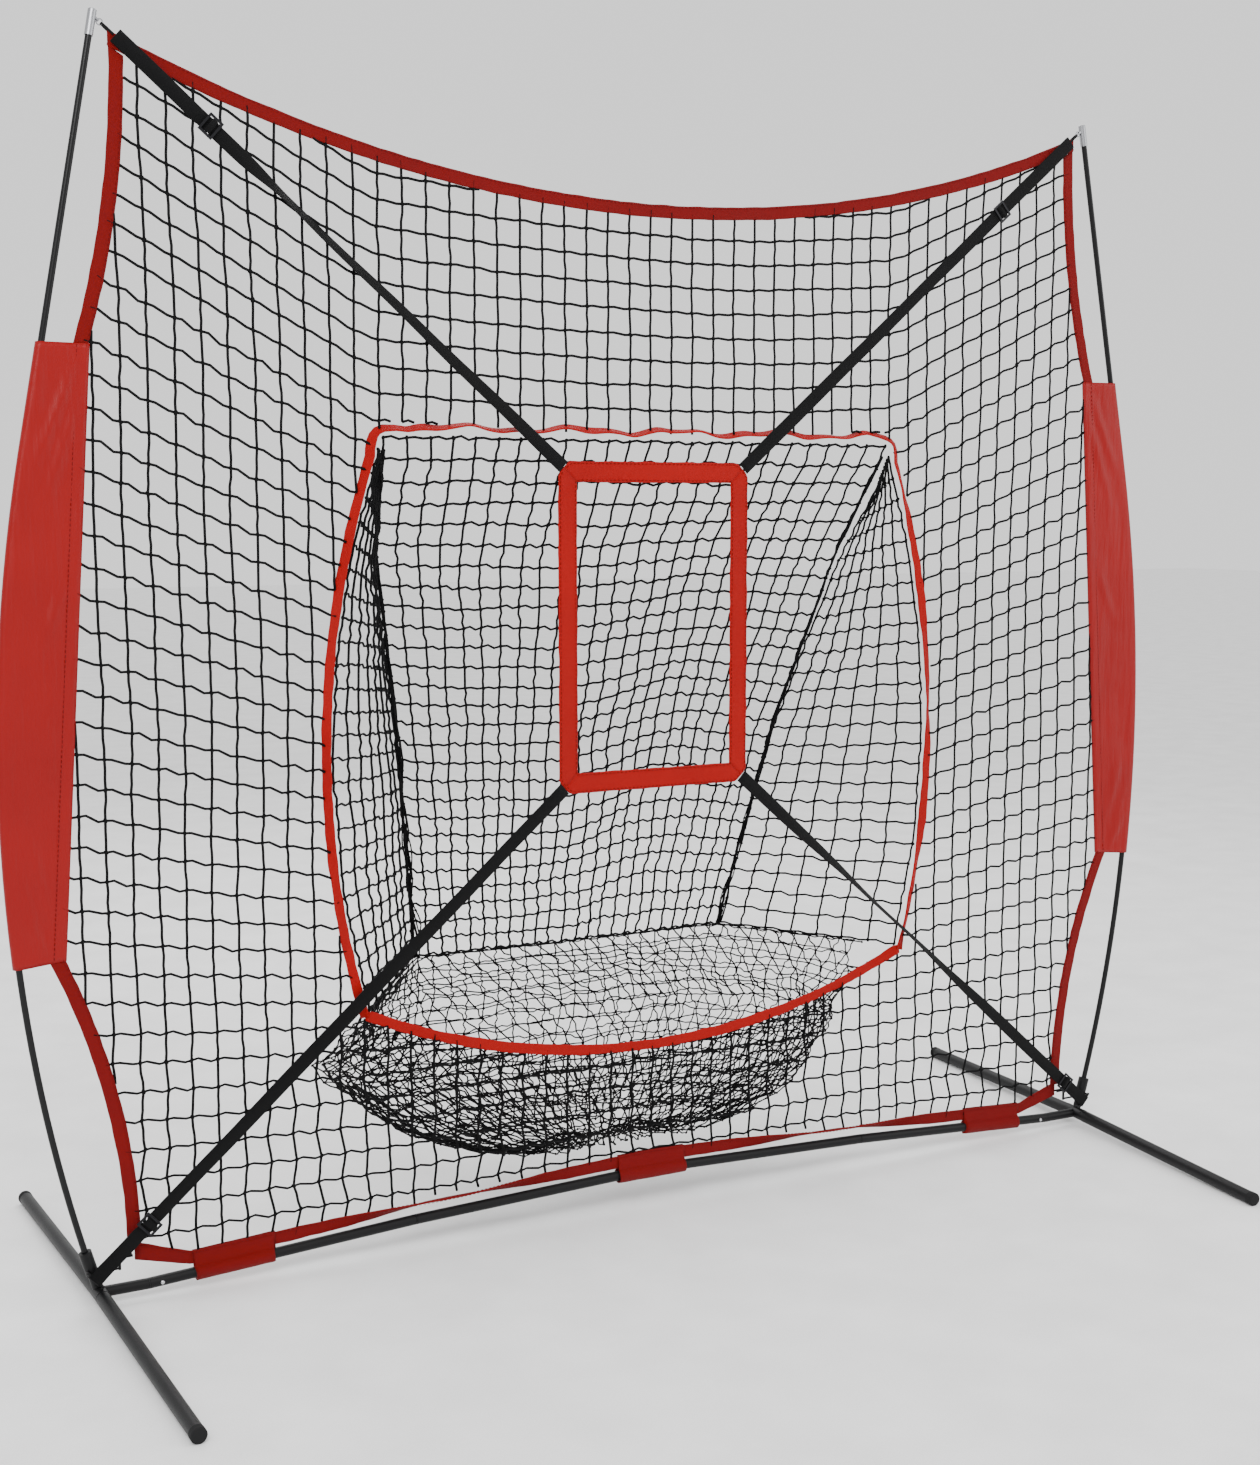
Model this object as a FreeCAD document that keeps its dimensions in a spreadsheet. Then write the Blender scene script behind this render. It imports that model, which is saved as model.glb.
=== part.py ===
"""Pitching target net: two bowed fibreglass poles on a steel base hold a net with a ball pocket,
and a strike-zone frame hangs in front of the pocket on four adjustable straps.

Frame of the model: +X to the viewer's right, +Y away from the thrower (the pocket side), +Z up,
origin on the floor in the middle of the base. Lengths are in millimetres, angles in degrees."""
import FreeCAD
import Part
import math
import os
from FreeCAD import Placement, Rotation, Vector

DRIVING_SIZES = [
    ("frame_height", 2134),          # floor to the top of the tip caps
    ("bow_half_span", 1185),         # middle of the net to the pole where the bow is widest
    ("bow_height", 880),             # height of that widest point
    ("bend_radius", 3015),           # radius of the bent part of a pole
    ("tip_lean", 10.55),             # inward lean at which the bend ends and the pole runs straight
    ("pole_diameter", 11),
    ("pole_clearance", 0.5),         # radial room round a pole in its socket, cap and ferrules
    ("ferrule_length", 90),
    ("ferrule_wall", 1.1),
    ("cap_wall", 1.1),
    ("cap_length", 42),
    ("ring_radius", 5),              # wire ring in the tip cap's eye
    ("ring_wire", 2),
    ("hub_height", 24),              # floor to the axis of the base tubes at a hub
    ("foot_reach", 558),             # hub to the end of a foot
    ("foot_toe", 2.8),               # turn of the feet about the vertical, fronts inward
    ("foot_diameter", 25),
    ("foot_wall", 1.5),
    ("end_cap_diameter", 26),
    ("end_cap_length", 14),
    ("end_cap_flat", 0.4),           # depth of the flat that an end cap stands on
    ("end_cap_plug", 20),            # part of an end cap inside the foot
    ("end_cap_round", 3),
    ("foot_gap", 0.5),               # hub barrel to the rim of a foot
    ("spigot_root", 12),             # overlap of a foot's spigot with the barrel
    ("hub_barrel_length", 56),
    ("spigot_length", 44),
    ("spigot_clearance", 0.3),
    ("socket_diameter", 22),         # collar that takes the pole
    ("socket_start", 36),            # hub axis to the bottom of the collar
    ("socket_end", 78),              # hub axis to the mouth of the collar
    ("post_diameter", 17),
    ("stub_length", 84),             # hub axis to the end of the crossbar stub
    ("crossbar_diameter", 19),
    ("crossbar_wall", 1.2),
    ("joint_gap", 0.25),             # between the rims of neighbouring crossbar tubes
    ("swage_length", 6),             # ring inside a tube at the root of its spigot
    ("swage_setback", 8),            # joint to the start of that ring
    ("quarter_rise", 28),            # how far the net pulls up the crossbar's outer joints
    ("middle_rise", 44),             # and its middle joint
    ("button_diameter", 6.4),
    ("button_stand", 3),             # snap button above the tube
    ("button_setback", 22),          # joint to the snap button
    ("button_travel", 3.4),
    ("spring_thickness", 0.8),
    ("spring_width", 5),
    ("button_flange", 1),            # button's flange beyond its pin
    ("button_flange_thickness", 1.4),
    ("button_dome", 1.2),            # height of the button's rounded end
    ("spring_tail", 7),              # spring past the button's middle
    ("spring_reach", 15),            # button's middle to the spring's fold
    ("spring_fold", 3),              # height of the fold
    ("net_thickness", 2),
    ("binding_width", 24),
    ("binding_thickness", 5),
    ("corner_inset", 22),            # tip to the net's top corner, sideways
    ("corner_drop", 30),             # and down
    ("loop_ply", 1.2),               # tape of the net's corner loops
    ("loop_width", 4),
    ("loop_length", 22),
    ("loop_neck", 9),                # wire to where a loop's plies spread
    ("loop_room", 1.1),              # room between a loop and its wire
    ("eye_drop", 9),                 # top of a tip cap to its eye
    ("eye_reach", 3.2),              # tip cap to the middle of its eye
    ("eye_radius", 1.9),
    ("lug_length", 10),
    ("lug_width", 7),
    ("lug_thickness", 3),
    ("top_sag", 201),                # sag of the net's top edge
    ("upper_scallop", 19),           # inward curve of the side edge above a sleeve
    ("lower_scallop", 30),           # and below it
    ("sleeve_inset", 50),            # pole to the net's edge at a sleeve's ends
    ("sleeve_top", 1612),
    ("sleeve_bottom", 602),
    ("sleeve_wall", 1.3),
    ("sleeve_room", 0.4),            # room between a sleeve and what it holds
    ("bottom_corner_inset", 50),     # hub to the net's bottom corner
    ("bottom_corner_height", 74),
    ("bottom_gap", 5.5),             # crossbar to the bottom binding
    ("wrap_length", 148),            # cloth wraps that hold the net to the crossbar
    ("wrap_setback", 235),           # hub to the middle of an outer wrap
    ("wrap_room", 0.3),              # wrap to the bottom binding
    ("mouth_top", 1478),             # pocket mouth: heights and half widths
    ("mouth_top_half", 528),
    ("mouth_wide", 900),
    ("mouth_wide_half", 632),
    ("mouth_low", 455),
    ("mouth_low_half", 572),
    ("mouth_bottom", 328),
    ("tape_width", 20),
    ("pocket_thickness", 3),
    ("pocket_gap", 1.5),             # mouth tape to the pocket's skins
    ("pocket_back_drop", 8),         # mouth's top edge to the top of the pocket's back
    ("pocket_side_drop", 30),        # and to the top of its sides
    ("pocket_shoulder_height", 1270),
    ("pocket_shoulder_half", 501),   # half width of the back, and its depth behind the mouth
    ("pocket_shoulder_depth", 130),
    ("pocket_waist_height", 900),
    ("pocket_waist_half", 419),
    ("pocket_waist_depth", 246),
    ("pocket_foot_half", 350),
    ("pocket_foot_depth", 352),
    ("bag_bulge_height", 300),       # the bag's widest level: half widths, then depths
    ("bag_bulge_front_half", 575),
    ("bag_bulge_side_half", 625),
    ("bag_bulge_back_half", 330),
    ("bag_bulge_front_depth", 8),
    ("bag_bulge_side_depth", 195),
    ("bag_bulge_back_depth", 385),
    ("bag_low_height", 170),
    ("bag_low_front_half", 430),
    ("bag_low_side_half", 480),
    ("bag_low_back_half", 290),
    ("bag_low_front_depth", 45),
    ("bag_low_side_depth", 190),
    ("bag_low_back_depth", 330),
    ("bag_floor_height", 80),
    ("bag_floor_front_half", 210),
    ("bag_floor_side_half", 240),
    ("bag_floor_back_half", 150),
    ("bag_floor_front_depth", 110),
    ("bag_floor_side_depth", 175),
    ("bag_floor_back_depth", 240),
    ("zone_width", 400),
    ("zone_height", 612),
    ("zone_middle", 1127),           # height of the strike zone's middle
    ("zone_band", 38),
    ("zone_thickness", 4),
    ("zone_offset", 14),             # strike zone in front of the net
    ("zone_chamfer", 24),
    ("strap_width", 25),
    ("strap_thickness", 1.4),
    ("strap_gap", 1.4),              # between the two layers of a strap
    ("strap_inset", 12),             # net's top corner to an upper strap's end, sideways
    ("strap_drop", 10),              # and down
    ("strap_lift", 4.4),             # middle of an upper strap's end in front of the binding
    ("strap_tail", 4),               # loose end past a slider
    ("strap_fold", 2.5),             # length of the fold at an upper strap's end
    ("strap_neck", 26),              # staple to where a lower strap's layers run level
    ("strap_staple_room", 0.7),      # room between a lower strap and its staple
    ("slider_room", 0.3),            # strap's front to a slider's plate
    ("weave_lift", 0.9),             # room between the webbing and a slider's bar
    ("weave_reach", 1.2),            # webbing past the bar before it dips
    ("weave_inset", 0.6),            # webbing to the rim of a slider's window
    ("slider_length", 28),
    ("slider_width", 35),
    ("slider_thickness", 2.4),
    ("slider_rim", 4),
    ("slider_bar", 4),
    ("upper_left_slider_setback", 195),   # strap's outer end to its slider
    ("upper_right_slider_setback", 231),
    ("lower_left_slider_setback", 124),
    ("lower_right_slider_setback", 75),
    ("bail_rod", 5),
    ("bail_width", 34),
    ("bail_offset", 16),             # strap bail in front of the post
    ("bail_drop", 6),                # bottom of the socket to the bail
    ("bail_root", 4),                # overlap of the bail's legs with the post
    ("hook_inset", 14),              # net's bottom corner to the hook's pin, sideways
    ("hook_drop", 14),               # and down
    ("hook_rise", 30),
    ("hook_loop_rise", 20),          # pin's foot to the net's corner loop
]
SHEET = "Sizes"

doc = FreeCAD.newDocument("pitching_target_net")
sheet = doc.addObject("Spreadsheet::Sheet", SHEET)
for row, (alias, value) in enumerate(DRIVING_SIZES, start=1):
    sheet.set(f"A{row}", alias)
    sheet.set(f"B{row}", str(value))
    sheet.setAlias(f"B{row}", alias)
doc.recompute()


class Sizes:
    """The sheet's values as plain numbers, for places and outlines."""
    def __getattr__(self, alias):
        return float(sheet.get(alias))


size = Sizes()
nodes = {}
SIDES = {"left": -1, "right": 1}
UP = Vector(0, 0, 1)
TO_BACK = Vector(0, 1, 0)


# ---------------------------------------------------------------- document helpers

def cell(expression):
    """An expression on the sheet's cells: each alias gets the sheet's name before it."""
    words = expression.replace("(", " ( ").replace(")", " ) ").split()
    aliases = {alias for alias, _ in DRIVING_SIZES}
    return " ".join(f"{SHEET}.{word}" if word in aliases else word for word in words)


def along(start, direction):
    """A placement whose local Z runs along a direction."""
    return Placement(start, Rotation(UP, direction))


def axes_placement(origin, x_axis, y_axis):
    """A placement from its local X and Y axes."""
    return Placement(origin, Rotation(x_axis, y_axis, x_axis.cross(y_axis), "XYZ"))


def cylinder(name, radius, height, placement):
    """A cylinder whose radius and height are expressions on the sheet or plain numbers."""
    rod = doc.addObject("Part::Cylinder", name)
    for prop, value in (("Radius", radius), ("Height", height)):
        if isinstance(value, str):
            rod.setExpression(prop, cell(value))
        else:
            setattr(rod, prop, value)
    rod.Placement = placement
    return rod


def rod_between(name, radius, start, end):
    """A cylinder from one point to another."""
    return cylinder(name, radius, (end - start).Length, along(start, end - start))


def box(name, corner, lengths):
    block = doc.addObject("Part::Box", name)
    block.Length, block.Width, block.Height = lengths
    block.Placement.Base = corner
    return block


def fuse(name, shapes):
    union = doc.addObject("Part::MultiFuse", name)
    union.Shapes = shapes
    return union


def fuse_in_turn(name, shapes):
    """Joins the shapes one after another, for many rods that cross at one point."""
    joined = shapes[0]
    for index, shape in enumerate(shapes[1:]):
        union = doc.addObject("Part::Fuse", f"{name}_{index}")
        union.Base = joined
        union.Tool = shape
        joined = union
    return joined


def cut(name, base, tools):
    """The base less all the tools."""
    difference = doc.addObject("Part::Cut", name)
    difference.Base = base
    difference.Tool = tools[0] if len(tools) == 1 else fuse(f"{name}_tools", tools)
    return difference


def group(name, parts):
    """Several separate solids as one piece of the list."""
    compound = doc.addObject("Part::Compound", name)
    compound.Links = parts
    return compound


def node(label, thing):
    """Enters a finished object under its file's name."""
    thing.Label = label
    nodes[label] = thing
    return thing


def body_sketch(name, edges):
    """A body with one sketch on its XZ plane."""
    body = doc.addObject("PartDesign::Body", name)
    plane = next(item for item in body.Origin.OriginFeatures if item.Role == "XZ_Plane")
    sketch = body.newObject("Sketcher::SketchObject", f"{name}_sketch")
    sketch.AttachmentSupport = [(plane, "")]
    sketch.MapMode = "FlatFace"
    for edge in edges:
        sketch.addGeometry(edge)
    return body, sketch


def padded(name, edges, thickness, placement=Placement()):
    """A body: a closed outline on the XZ plane, padded to both sides."""
    body, sketch = body_sketch(name, edges)
    pad = body.newObject("PartDesign::Pad", f"{name}_pad")
    pad.Profile = sketch
    pad.SideType = "Symmetric"
    if isinstance(thickness, str):
        pad.setExpression("Length", cell(thickness))
    else:
        pad.Length = thickness
    body.Placement = placement
    return body


def turned(name, profile, placement):
    """A body: a closed profile of (radius, height) points turned about the local Z axis."""
    body, sketch = body_sketch(name, polygon(profile))
    turn = body.newObject("PartDesign::Revolution", f"{name}_turn")
    turn.Profile = sketch
    turn.ReferenceAxis = (sketch, ["V_Axis"])
    turn.Angle = 360
    body.Placement = placement
    return body


# ---------------------------------------------------------------- outlines in the net's plane

def line(start, end):
    return Part.LineSegment(Vector(*start, 0), Vector(*end, 0))


def arc(start, via, end):
    return Part.Arc(Vector(*start, 0), Vector(*via, 0), Vector(*end, 0))


def polygon(points):
    return [line(start, end) for start, end in zip(points, points[1:] + points[:1])]


def mirrored(point):
    return (-point[0], point[1])


class Circle:
    """A circle in the net's plane, with its centre and radius."""
    def __init__(self, centre, radius):
        self.centre = centre
        self.radius = radius

    @classmethod
    def through(cls, first, second, third):
        circle = Part.Arc(Vector(*first, 0), Vector(*second, 0), Vector(*third, 0)).toShape().Curve
        return cls((circle.Center.x, circle.Center.y), circle.Radius)

    @classmethod
    def scallop(cls, start, end, sag):
        """Through two points, bowed by sag to the left of the way from start to end."""
        run = (end[0] - start[0], end[1] - start[1])
        length = math.hypot(*run)
        middle = ((start[0] + end[0]) / 2 - run[1] / length * sag,
                  (start[1] + end[1]) / 2 + run[0] / length * sag)
        return cls.through(start, middle, end)

    def grown(self, step):
        return Circle(self.centre, self.radius + step)

    def at_height(self, height, side):
        """The point at a height, on the given side of the centre."""
        reach = math.sqrt(self.radius ** 2 - (height - self.centre[1]) ** 2)
        return (self.centre[0] + side * reach, height)

    def at_width(self, width, side):
        """The point at a distance from the middle of the net, above or below the centre."""
        reach = math.sqrt(self.radius ** 2 - (width - self.centre[0]) ** 2)
        return (width, self.centre[1] + side * reach)

    def meet(self, other, near):
        """The crossing with another circle that is nearer to a point."""
        gap = (other.centre[0] - self.centre[0], other.centre[1] - self.centre[1])
        apart = math.hypot(*gap)
        foot = (self.radius ** 2 - other.radius ** 2 + apart ** 2) / (2 * apart)
        height = math.sqrt(self.radius ** 2 - foot ** 2)
        crossings = [(self.centre[0] + (foot * gap[0] + sign * height * gap[1]) / apart,
                      self.centre[1] + (foot * gap[1] - sign * height * gap[0]) / apart)
                     for sign in (1, -1)]
        return min(crossings, key=lambda point: math.dist(point, near))

    def arc(self, start, end):
        """The short arc between two of its points."""
        middle = ((start[0] + end[0]) / 2 - self.centre[0], (start[1] + end[1]) / 2 - self.centre[1])
        scale = self.radius / math.hypot(*middle)
        return arc(start, (self.centre[0] + middle[0] * scale, self.centre[1] + middle[1] * scale), end)


def in_space(point, depth=0.0):
    """A point of the net's plane as a point in space."""
    return Vector(point[0], depth, point[1])


# ---------------------------------------------------------------- lines of the bowed poles

BEND = Circle((size.bow_half_span - size.bend_radius, size.bow_height), size.bend_radius)
LEAN = math.radians(size.tip_lean)
BEND_TOP = (BEND.centre[0] + size.bend_radius * math.cos(LEAN),
            BEND.centre[1] + size.bend_radius * math.sin(LEAN))
TIP_DIRECTION = (-math.sin(LEAN), math.cos(LEAN))
HUB = BEND.at_height(size.hub_height, 1)
WRAP_MIDDLE = HUB[0] - size.wrap_setback


def pole_at(height, offset=0.0):
    """The right pole's line, or one offset outward from it, at a height."""
    edge = BEND.grown(offset)
    top = (BEND.centre[0] + edge.radius * math.cos(LEAN), BEND.centre[1] + edge.radius * math.sin(LEAN))
    if height <= top[1]:
        return edge.at_height(height, 1)
    return (top[0] - (height - top[1]) * math.tan(LEAN), height)


def pole_edges(high, low, offset):
    """The same line as sketch edges, from a high point down to a low one."""
    edge = BEND.grown(offset)
    top = (BEND.centre[0] + edge.radius * math.cos(LEAN), BEND.centre[1] + edge.radius * math.sin(LEAN))
    if high[1] <= top[1]:
        return [edge.arc(high, low)]
    return [line(high, top), edge.arc(top, low)]


# ---------------------------------------------------------------- lines of the net's edge

TIP = pole_at(size.frame_height)
TOP_CORNER = (TIP[0] - size.corner_inset, TIP[1] - size.corner_drop)
BOTTOM_CORNER = (HUB[0] - size.bottom_corner_inset, size.bottom_corner_height)
SLEEVE_HIGH = (pole_at(size.sleeve_top)[0] - size.sleeve_inset, size.sleeve_top)
SLEEVE_LOW = (pole_at(size.sleeve_bottom)[0] - size.sleeve_inset, size.sleeve_bottom)
TOP_EDGE = Circle.through(mirrored(TOP_CORNER), (0, TOP_CORNER[1] - size.top_sag), TOP_CORNER)
UPPER_EDGE = Circle.scallop(SLEEVE_HIGH, TOP_CORNER, size.upper_scallop)
LOWER_EDGE = Circle.scallop(BOTTOM_CORNER, SLEEVE_LOW, size.lower_scallop)
TOP_INNER = TOP_EDGE.grown(size.binding_width)
UPPER_INNER = UPPER_EDGE.grown(size.binding_width)
LOWER_INNER = LOWER_EDGE.grown(size.binding_width)
INNER_CORNER = TOP_INNER.meet(UPPER_INNER, TOP_CORNER)
UNDER_TOP = TOP_INNER.meet(UPPER_EDGE, TOP_CORNER)
INNER_HIGH = UPPER_INNER.at_height(size.sleeve_top, -1)
INNER_LOW = LOWER_INNER.at_height(size.sleeve_bottom, -1)
CORNER_TOP_HEIGHT = size.bottom_corner_height + size.binding_width
OUTER_FOOT = LOWER_EDGE.at_height(CORNER_TOP_HEIGHT, -1)
INNER_FOOT = LOWER_INNER.at_height(CORNER_TOP_HEIGHT, -1)

STUB_END = HUB[0] - size.stub_length
CROSSBAR_JOINTS = [(STUB_END, size.hub_height),
                   (STUB_END / 2, size.hub_height + size.quarter_rise),
                   (0.0, size.hub_height + size.middle_rise)]


def crossbar_height(width):
    """Height of the crossbar's axis at a distance from the middle."""
    for (outer, low), (inner, high) in zip(CROSSBAR_JOINTS, CROSSBAR_JOINTS[1:]):
        if width >= inner:
            return low + (high - low) * (outer - width) / (outer - inner)
    return CROSSBAR_JOINTS[-1][1]


def bottom_edge(inset):
    """The net's bottom edge from the middle outward, over the crossbar."""
    rise = size.crossbar_diameter / 2 + size.bottom_gap + inset
    widths = (0.0, STUB_END / 2, WRAP_MIDDLE + size.wrap_length / 2)
    return [(width, crossbar_height(width) + rise) for width in widths]


# ---------------------------------------------------------------- lines of the pocket's mouth

MOUTH_TOP = (size.mouth_top_half, size.mouth_top)
MOUTH_LOW = (size.mouth_low_half, size.mouth_low)
MOUTH_SIDE = Circle.through(MOUTH_TOP, (size.mouth_wide_half, size.mouth_wide), MOUTH_LOW)
MOUTH_FLOOR = Circle.through(mirrored(MOUTH_LOW), (0, size.mouth_bottom), MOUTH_LOW)
TAPE_SIDE = MOUTH_SIDE.grown(size.tape_width)
TAPE_FLOOR = MOUTH_FLOOR.grown(size.tape_width)
TAPE_TOP = TAPE_SIDE.at_height(size.mouth_top + size.tape_width, 1)
TAPE_LOW = TAPE_SIDE.meet(TAPE_FLOOR, MOUTH_LOW)


def side_point(point, side):
    return (side * point[0], point[1])


def both_sides(edges, side):
    """Sketch edges drawn for the right, mirrored for the left."""
    if side > 0:
        return edges
    flipped = []
    for edge in edges:
        shape = edge.toShape()
        points = [shape.valueAt(shape.FirstParameter + share * (shape.LastParameter - shape.FirstParameter))
                  for share in (0, 0.5, 1)]
        flat = [(-point.x, point.y) for point in points]
        flipped.append(line(flat[0], flat[2]) if isinstance(edge, Part.LineSegment) else arc(*flat))
    return flipped


# ---------------------------------------------------------------- base: hubs, feet, crossbar

def foot_direction(side, end):
    """From a hub along a foot: end is -1 for the front foot, 1 for the back one."""
    toe = math.radians(size.foot_toe)
    drop = size.hub_height - (size.end_cap_diameter / 2 - size.end_cap_flat)
    level = Vector(side * end * math.sin(toe), end * math.cos(toe), 0)
    return (level * size.foot_reach - UP * drop).normalize()


def hub_point(side):
    return Vector(side * HUB[0], 0, HUB[1])


def socket_direction(side):
    """The pole socket lines up with the pole's first stretch."""
    mouth = math.asin((HUB[1] - BEND.centre[1]) / BEND.radius) + size.socket_end / BEND.radius
    top = (BEND.centre[0] + BEND.radius * math.cos(mouth), BEND.centre[1] + BEND.radius * math.sin(mouth))
    return Vector(side * (top[0] - HUB[0]), 0, top[1] - HUB[1]).normalize()


def crossbar_point(index, side):
    width, height = CROSSBAR_JOINTS[index]
    return Vector(side * width, 0, height)


def strap_anchor(name):
    """Outer end of a strap: on the net's top corner, or round the bail on a hub's post."""
    side = SIDES[name.split("_")[1]]
    if name.startswith("upper"):
        depth = size.binding_thickness / 2 + size.strap_lift
        return Vector(side * (TOP_CORNER[0] - size.strap_inset), -depth, TOP_CORNER[1] - size.strap_drop)
    post = hub_point(side) + socket_direction(side) * (size.socket_start - size.bail_drop)
    return Vector(post.x, -size.bail_offset, post.z)


def zone_corner(name):
    """Middle of the strike zone's cut corner where a strap is sewn on."""
    vertical, horizontal = name.split("_")
    sign = 1 if vertical == "upper" else -1
    half = (size.zone_width - size.zone_chamfer) / 2
    return Vector(SIDES[horizontal] * half, -size.zone_offset,
                  size.zone_middle + sign * (size.zone_height - size.zone_chamfer) / 2)


def make_hubs():
    """The right hub, and the left one as its mirror image."""
    right = make_right_hub()
    left = doc.addObject("Part::Mirroring", "hub_left_mirror")
    left.Source = right
    left.Normal = Vector(1, 0, 0)
    node("hub_left", left)


def make_right_hub():
    side = SIDES["right"]
    name = "hub_right"
    centre = hub_point(side)
    foot_line = foot_direction(side, 1)
    level = Vector(foot_line.x, foot_line.y, 0).normalize()
    half_barrel = size.hub_barrel_length / 2
    parts = [cylinder(f"{name}_barrel", "foot_diameter / 2", "hub_barrel_length",
                      along(centre - level * half_barrel, level))]
    for end in (-1, 1):
        parts.append(cylinder(f"{name}_spigot_{'front' if end < 0 else 'back'}",
                              "foot_diameter / 2 - foot_wall - spigot_clearance",
                              "spigot_length + spigot_root",
                              along(centre + foot_direction(side, end) * (half_barrel - size.spigot_root),
                                    foot_direction(side, end))))
    joint = crossbar_point(0, side)
    bar_line = (crossbar_point(1, side) - joint).normalize()
    parts.append(rod_between(f"{name}_stub", "crossbar_diameter / 2", centre, joint))
    bar_spigot = cylinder(f"{name}_bar_spigot", "crossbar_diameter / 2 - crossbar_wall - spigot_clearance",
                          "spigot_length", along(joint - bar_line * 4, bar_line))
    parts.append(bar_spigot)
    axis = socket_direction(side)
    parts.append(cylinder(f"{name}_post", "post_diameter / 2", "socket_start + 8", along(centre, axis)))
    parts.append(cylinder(f"{name}_socket", "socket_diameter / 2", "socket_end - socket_start",
                          along(centre + axis * size.socket_start, axis)))
    parts += strap_bail(name, side)
    parts += net_hook(name, side)
    solid = fuse_in_turn(f"{name}_solid", parts)
    bore = cylinder(f"{name}_bore", "pole_diameter / 2 + pole_clearance", "socket_end - socket_start",
                    along(centre + axis * (size.socket_start + 4), axis))
    bar_bore = cylinder(f"{name}_bar_bore", "crossbar_diameter / 2 - 2 * crossbar_wall - spigot_clearance",
                        "spigot_length", along(joint + bar_line, bar_line))
    hole = button_hole(f"{name}_hole", joint, bar_line, -1)
    return node(name, cut(f"{name}_cut", solid, [bore, bar_bore, hole]))


def strap_bail(name, side):
    """A rod staple in front of the post and socket, square to the lower strap that ends round it."""
    strap_name = f"lower_{'left' if side < 0 else 'right'}"
    anchor = strap_anchor(strap_name)
    run = zone_corner(strap_name) - anchor
    across = Vector(run.z, 0, -run.x).normalize()
    half = across * (size.bail_width / 2)
    past = across * size.bail_rod * 0.7
    back = TO_BACK * (size.bail_offset - size.bail_root)
    rods = [rod_between(f"{name}_bail", "bail_rod / 2", anchor - half - past, anchor + half + past)]
    for index, start in enumerate((anchor - half, anchor + half)):
        rods.append(rod_between(f"{name}_bail_side_{index}", "bail_rod / 2 - 0.3", start, start + back))
    return rods


def hook_pin(side):
    """Foot of the upright pin that the net's bottom corner loop drops over."""
    return Vector(side * (BOTTOM_CORNER[0] + size.hook_inset), 0, BOTTOM_CORNER[1] - size.hook_drop)


def net_hook(name, side):
    """An arm from the post towards the net, with an upright pin at its end."""
    foot = hook_pin(side)
    axis = socket_direction(side)
    root = hub_point(side) + axis * ((foot.z - HUB[1]) / axis.z)
    arm = rod_between(f"{name}_hook_arm", "bail_rod / 2 - 0.5", foot, root)
    pin_foot = foot - UP * (size.bail_rod / 2)
    return [arm, rod_between(f"{name}_hook_pin", "bail_rod / 2", pin_foot, foot + UP * size.hook_rise)]


def make_foot(side_name, end_name):
    side = SIDES[side_name]
    end = -1 if end_name == "front" else 1
    name = f"foot_{end_name}_{side_name}"
    direction = foot_direction(side, end)
    start = hub_point(side) + direction * (size.hub_barrel_length / 2 + size.foot_gap)
    length = size.foot_reach - size.hub_barrel_length / 2 - size.foot_gap - size.end_cap_length
    tube = cylinder(f"{name}_tube", "foot_diameter / 2", length, along(start, direction))
    bore = cylinder(f"{name}_bore", "foot_diameter / 2 - foot_wall", length + 2,
                    along(start - direction, direction))
    node(name, cut(f"{name}_cut", tube, [bore]))


def make_end_cap(side_name, end_name):
    """A rubber plug with a rounded head, cut flat where it stands on the floor."""
    side = SIDES[side_name]
    end = -1 if end_name == "front" else 1
    name = f"end_cap_{end_name}_{side_name}"
    direction = foot_direction(side, end)
    seat = hub_point(side) + direction * (size.foot_reach - size.end_cap_length)
    head = size.end_cap_diameter / 2
    plug = size.foot_diameter / 2 - size.foot_wall - size.spigot_clearance
    round_off = size.end_cap_round
    length = size.end_cap_length
    profile = [(0, -size.end_cap_plug), (plug, -size.end_cap_plug), (plug, 0), (head, 0),
               (head, length - round_off), (head - 1, length - 1), (head - round_off, length), (0, length)]
    body = turned(f"{name}_body", profile, along(seat, direction))
    block = 60
    corner = Vector(seat.x - block, seat.y - block, -block)
    floor = box(f"{name}_floor", corner, (2 * block, 2 * block, block))
    return cut(name, body, [floor])


def button_hole(name, joint, direction, facing):
    """A hole through one wall of a tube for the snap button; facing is along Y."""
    centre = joint + direction * size.button_setback
    return cylinder(name, "button_diameter / 2 + spigot_clearance", "crossbar_diameter",
                    along(centre, TO_BACK * facing))


def make_crossbar(side_name):
    """Two of the crossbar's four tubes; a swaged spigot leads from the outer into the inner one."""
    side = SIDES[side_name]
    joints = [crossbar_point(index, side) for index in range(3)]
    steepest = (joints[1].z - joints[0].z) / abs(joints[1].x - joints[0].x)
    gap = size.joint_gap + size.crossbar_diameter / 2 * steepest
    for index, part in enumerate(("outer", "inner")):
        name = f"crossbar_{part}_{side_name}"
        start, end = joints[index], joints[index + 1]
        direction = (end - start).normalize()
        length = (end - start).Length - 2 * gap
        base = start + direction * gap
        tube = cylinder(f"{name}_tube", "crossbar_diameter / 2", length, along(base, direction))
        bore = cylinder(f"{name}_bore", "crossbar_diameter / 2 - crossbar_wall", length + 2,
                        along(base - direction, direction))
        facing = -1 if part == "outer" else 1
        holes = [button_hole(f"{name}_hole", start, direction, facing)]
        receives_middle = part == "inner" and side_name == "left"
        if receives_middle:
            holes.append(button_hole(f"{name}_middle_hole", end, -direction, 1))
        solid = cut(f"{name}_cut", tube, [bore] + holes)
        has_spigot = not receives_middle
        if has_spigot:
            onward = (joints[2] - joints[1]) if part == "outer" else Vector(-side * joints[1].x, 0, 0)
            if part == "inner":
                onward = crossbar_point(1, -side) - joints[2]
            solid = fuse(f"{name}_fuse", [solid, swage(name, end, direction, onward.normalize())])
        node(name, solid)


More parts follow.
